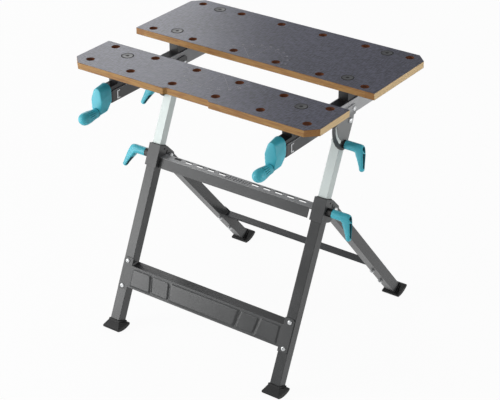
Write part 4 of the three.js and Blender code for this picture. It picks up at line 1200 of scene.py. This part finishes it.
@dataclass
class Fasteners(Assembly):
    """Hinge plate rivets, brace screws, brace bolts with their nuts, and the spring clips on the rails."""

    head: Span = (0.0056, 0.0030)
    head_rim: float = 0.0004
    recess_depth: float = 0.0014
    recess_width: Span = (0.0005, 0.0008)
    recess_end: Span = (0.0026, 0.0029)
    nut: Span = (0.0058, 0.0050)
    nut_trim: Span = (0.9, 0.6)
    nut_lid: float = 0.86
    stub: tuple[Span, ...] = ((0.0030, 0.0), (0.0030, 0.0062), (0.0026, 0.0067), (0.0002, 0.0067))
    sink: float = 0.0002
    front_along: Span = (0.1072, 0.1692)
    rear_along: Span = (0.349, 0.414)
    rear_inset: float = 0.004
    rivet: Span = (0.0042, 0.0028)
    rivet_place: Span = (0.0105, 0.0205)
    rivet_root: float = 0.0004
    clip_place: float = 0.0142
    clip_web: Triple = (0.0006, 0.0012, 0.0098)
    clip_arm: Triple = (0.0006, 0.0036, 0.0010)
    clip_proud: float = 0.0005
    clip_rise: float = 0.0002

    def pan_head(self, shell: Shell, at: Array, direction: Array) -> None:
        """A pan head with a cross recess: its height over a disc is an ellipse, less the cross.

        Args:
            shell: where the body goes.
            at: the middle of its seat.
            direction: the way it faces.
        """
        u, v, w = axes_about(direction)
        radius, height = self.head
        r = np.concatenate([[radius, radius], np.linspace(radius * 0.96, 0.00005, 22)])[:, None]
        lift = height * np.sqrt(np.clip(1.0 - (r / radius) ** 2.6, 0.0, 1.0)) + self.head_rim
        lift[0] = -self.head_rim
        angle = around(64)
        p, q = r * np.cos(angle), r * np.sin(angle)
        cross = falloff(np.minimum(np.abs(p), np.abs(q)), *self.recess_width)
        cross = cross * falloff(np.hypot(p, q), *self.recess_end)
        skin = np.stack([p, q, lift - self.recess_depth * cross], -1)
        shell.tube(at + skin @ np.array([u, v, w]), cross)

    def hexagon(self, shell: Shell, at: Array, direction: Array) -> None:
        """A nut: six corners whose top is trimmed by a shallow cone.

        Args:
            shell: where the body goes.
            at: the middle of its seat.
            direction: the way it faces.
        """
        u, v, w = axes_about(direction)
        radius, height = self.nut
        angle = around(48)[:, None]
        fold = np.abs((angle + np.pi / 6) % (np.pi / 3) - np.pi / 6)
        flat = radius * math.cos(math.pi / 6) / np.cos(np.pi / 6 - fold)
        unit = np.cos(angle) * u + np.sin(angle) * v
        trim = np.maximum(flat - radius * self.nut_trim[0], 0.0) * self.nut_trim[1]
        lid = at + height * w
        rings = [at + flat * unit, lid + flat * unit - trim * w, lid + unit * radius * self.nut_lid, lid + unit * 0.0005]
        shell.tube(np.stack(rings))

    def hinge_rivets(self) -> None:
        """A domed rivet on the inner face of each hinge plate: a quarter of an ellipse, turned."""
        pivot = self.bench.joint("table_tilt")
        radius, height = self.rivet
        turn = np.linspace(0.0, np.pi / 2, 10)
        dome = np.stack([np.maximum(radius * np.cos(turn), 0.0001), height * np.sin(turn)], 1)
        profile = np.concatenate([[[radius, -self.rivet_root]], dome])
        shell = Shell()
        for tag, sign in SIDES.items():
            low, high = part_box(f"hinge_plate_{tag}")
            at = np.array([low.x if sign > 0 else high.x, *(pivot[1:] + self.rivet_place)])
            shell.turned(profile, at, (-sign, 0, 0), 32)
        self.mount(shell, "hinge_plate_rivets", 40.0, "table", Slot.ZINC)

    def brace_screws(self) -> None:
        """Two cross-head screws through each end of the front brace."""
        _, out = self.bench.leg_axes(End.FRONT)
        shell = Shell()
        for sign in SIDES.values():
            for along in self.front_along:
                at = self.bench.front_point(along, self.bench.brace_skin, sign * self.bench.side)
                self.pan_head(shell, at, out)
        self.mount(shell, "front_brace_screws", 35.0, "front_frame", Slot.ZINC)

    def brace_bolts(self) -> None:
        """Two bolts through each rear leg and the rear brace, a domed head behind and a nut in front."""
        up, out = self.bench.leg_axes(End.REAR)
        fold = self.bench.joint("rear_legs_fold")
        shell = Shell()
        for sign in SIDES.values():
            for along in self.rear_along:
                at = fold - up * along + np.array([sign * (self.bench.side - self.rear_inset), 0, 0])
                self.hexagon(shell, at + out * (self.bench.leg_half - self.sink), out)
                shell.turned(np.array(self.stub), at + out * self.bench.leg_half, out, 20)
                self.pan_head(shell, at - out * self.bench.brace_skin, -out)
        self.mount(shell, "rear_brace_bolts", 35.0, "rear_legs", Slot.ZINC)

    def rail_clips(self) -> None:
        """A bright clip on each side of each rail, bent like a square bracket round its front."""
        halves = np.array([self.clip_web, self.clip_arm, self.clip_arm])
        arm_back, arm_rise = halves[0, 1] + halves[1, 1], halves[0, 2] - halves[1, 2]
        offsets = np.array([[0.0, 0.0, 0.0], [0.0, arm_back, arm_rise], [0.0, arm_back, -arm_rise]])
        shell = Shell()
        for tag in SIDES:
            low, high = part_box(f"clamp_rail_{tag}")
            y, z = low.y + self.clip_place, low.z + self.bench.rail_height / 2 + self.clip_rise
            for x in (low.x - self.clip_proud, high.x + self.clip_proud):
                shell.boxes(np.array([x, y, z]) + offsets, *(halves[:, i:i + 1] * np.eye(3)[i] for i in range(3)))
        self.mount(shell, "rail_clips", 30.0, "table", Slot.ZINC)

    def build(self) -> None:
        """Make every fastener."""
        self.hinge_rivets()
        self.brace_screws()
        self.brace_bolts()
        self.rail_clips()


@dataclass(frozen=True)
class Lamp:
    """A soft lamp, so wide and so tall, that faces a point of the bench."""

    name: str
    at: Triple
    size: Span
    power: float
    aim: Triple = (0.0, 0.0, 0.35)

    def make(self) -> None:
        """Hang the lamp."""
        data = bpy.data.lights.new(self.name, "AREA")
        data.shape = "RECTANGLE"
        data.size, data.size_y = self.size
        data.energy = self.power
        lamp = linked(self.name, data)
        lamp.location = self.at
        lamp.rotation_euler = (Vector(self.aim) - Vector(self.at)).to_track_quat("-Z", "Y").to_euler()


@dataclass
class Studio:
    """Camera at the photograph's place, soft lamps and a pale floor."""

    target: Triple = (-0.00336, 0.00099, 0.31786)
    back: Triple = (0.5070, -0.7171, 0.4782)
    distance: float = 3.43543
    lens: float = 104.96
    bright_side: Triple = (-0.80, -0.45, -0.40)
    turnover: Span = (-0.6, 0.9)
    ambient: Span = (0.16, 0.62)
    mirror_gain: float = 1.35
    floor_reach: float = 40.0
    floor_level: float = -0.0004
    lamps: tuple[Lamp, ...] = (
        Lamp("key", (-2.4, -2.4, 2.0), (1.6, 1.6), 30.0),
        Lamp("bank", (-1.14, -1.12, 0.36), (0.95, 0.6), 7.2, (-0.38, 0.12, 0.22)),
        Lamp("fill", (3.0, 0.4, 1.0), (1.6, 1.6), 22.0),
        Lamp("edge", (2.2, 3.0, 2.3), (1.2, 1.2), 9.0),
        Lamp("sheen", (-3.6, 2.6, 2.1), (2.6, 2.6), 45.0, (-0.2, 0.0, 0.68)),
    )

    def camera(self) -> None:
        """Place the camera along its measured line of sight."""
        data = bpy.data.cameras.new("camera")
        data.lens = self.lens
        data.sensor_width = 36.0
        data.sensor_fit = "HORIZONTAL"
        data.clip_end = 50.0
        camera = linked("camera", data)
        back = Vector(self.back).normalized()
        camera.location = Vector(self.target) + back * self.distance
        camera.rotation_euler = (-back).to_track_quat("-Z", "Y").to_euler()
        bpy.context.scene.camera = camera

    def world(self) -> None:
        """A white surround, dimmer as a light than as a backdrop, and greyer on the right."""
        bpy.context.scene.world = bpy.data.worlds.new("surround")
        tree = Tree(bpy.context.scene.world, "Generated")
        x, y, z = self.bright_side
        shade = (tree.x * x + tree.y * y + tree.z * z).ramp(*self.turnover, *self.ambient)
        light, mirror, white = (
            tree.node("ShaderNodeBackground", {}, {0: WHITE, 1: strength})
            for strength in (shade, shade * self.mirror_gain, 1.0)
        )
        path = tree.node("ShaderNodeLightPath").outputs
        lit = tree.blend(path["Is Camera Ray"], tree.blend(path["Is Glossy Ray"], light, mirror), white)
        tree.node("ShaderNodeOutputWorld", {}, {0: lit.outputs[0]})

    def floor(self) -> None:
        """A pale floor that keeps a faint shadow."""
        data = bpy.data.meshes.new("floor")
        r = self.floor_reach
        data.from_pydata([(x, y, self.floor_level) for x, y in ((-r, -r), (r, -r), (r, r), (-r, r))], [], [(0, 1, 2, 3)])
        tree = Tree.material("pale_floor")
        matte = tree.node("ShaderNodeBsdfDiffuse", {}, {"Color": (0.9, 0.9, 0.9)})
        glow = tree.node("ShaderNodeEmission", {}, {"Color": WHITE, "Strength": 1.0})
        path = tree.node("ShaderNodeLightPath").outputs
        seen, mirrored = Expr(tree, path["Is Camera Ray"]), Expr(tree, path["Is Glossy Ray"])
        mixed = tree.blend(seen * 0.95 + mirrored * 0.75, matte, glow)
        tree.node("ShaderNodeOutputMaterial", {}, {0: mixed.outputs[0]})
        data.materials.append(tree.owner)
        linked("floor", data)

    def build(self) -> None:
        """Set the stage."""
        bpy.context.scene.view_settings.view_transform = "Standard"
        self.camera()
        self.world()
        self.floor()
        for lamp in self.lamps:
            lamp.make()


def special_coats(bench: Bench) -> dict[str, Material]:
    """Finishes of the nodes whose tone varies or is their own.

    Args:
        bench: the shared sizes.

    Returns:
        The materials by the start of a node's name.
    """
    graphite = srgb(67, 68, 69)
    pivot = bench.joint("table_tilt").tolist()
    rail_low, rail_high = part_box("clamp_rail_R")
    edges = (rail_low.z + bench.rail_height, rail_high.z)
    tab = (rail_low.z + 0.004, rail_low.z + 0.014)
    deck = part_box("tool_tray")[1].z - 0.0006
    flange = float(bench.front_point(bench.brace_top, bench.brace_skin)[2]) - 0.0005
    tube = PowderCoat("leg_coat", srgb(60, 61, 62), 0.27, soften=0.0026)
    foot = Moulded("foot_moulding", srgb(9, 9, 10), srgb(4, 4, 4), 0.6, 0.3)
    coats = {
        # The rail coat's paler parts are painted light and its bright upper edges are painted highlights.
        "clamp_rail": RailCoat("rail_coat", graphite, 0.36, second_tone=srgb(196, 197, 198), edges=edges),
        "tilt_plate": PlateCoat(
            "plate_coat", srgb(134, 135, 135), 0.45, second_tone=srgb(52, 53, 55), pivot=(pivot[1], pivot[2]), tab=tab
        ),
        # Painted light: the tray's deck, facing up, is paler than its apron.
        "tool_tray": LevelCoat("tray_coat", graphite, 0.36, second_tone=srgb(168, 169, 170), level=deck),
        # Painted shade: the front brace's top flange is darker than its face.
        "front_brace": LevelCoat(
            "brace_coat", graphite, 0.38, second_tone=srgb(34, 35, 37), level=flange, half=bench.brace_half
        ),
        # Painted shade: the rear brace takes a darker copy of the frame paint.
        "rear_brace": PowderCoat("rear_brace_shaded_coat", srgb(46, 48, 52), 0.4),
        "front_leg": tube,
        "rear_leg": tube,
        "front_foot": foot,
        "rear_foot": foot,
    }
    return {start: coat.make() for start, coat in coats.items()}


def slot_of(node: str) -> Slot:
    """The finish slot that a node's own name implies.

    Args:
        node: the node's name.

    Returns:
        Its slot.
    """
    collars = ("height_lever_collar", "tilt_lever_collar")
    groups = {
        Slot.TUBE: ("inner_tube",),
        Slot.BLACK: ("guide_bush", "front_jaw_block", "jaw_carriage", *collars),
        Slot.TEAL: ("tilt_lever", "height_lever", "crank_handle", "crank_knob"),
        Slot.DISC: ("front_board_bolt", "rear_board"),
        Slot.ZINC: (
            "fold_pivot_bolt", "tilt_pivot_bolt", "tilt_clamp_screw", "height_clamp_screw", "spindle", "plate_rivet"
        ),
    }
    return next((slot for slot, starts in groups.items() if node.startswith(starts)), Slot.PAINT)


def dress_solids(bench: Bench, finishes: Mapping[Slot, Material]) -> None:
    """Give every CAD node but the boards the finish of its slot, or its own coat where it has one.

    Args:
        bench: the shared sizes.
        finishes: the materials by slot.
    """
    coats = special_coats(bench)
    for name in frame["nodes"]:
        if not name.endswith("_jaw_board"):
            own = next((coat for start, coat in coats.items() if name.startswith(start)), None)
            dress(name, own or finishes[slot_of(name)])


def main() -> None:
    """Build the stage, then each sub-assembly in order."""
    logging.basicConfig(level=logging.INFO, format="%(message)s")
    Studio().build()
    bench = Bench()
    finishes = shared_finishes(bench)
    dress_solids(bench, finishes)
    for assembly in (Boards, Levers, Cranks, Pressings, Fasteners):
        assembly(bench, finishes).build()
        LOG.info("%s done", assembly.__name__)


if __name__ == "__main__":
    main()
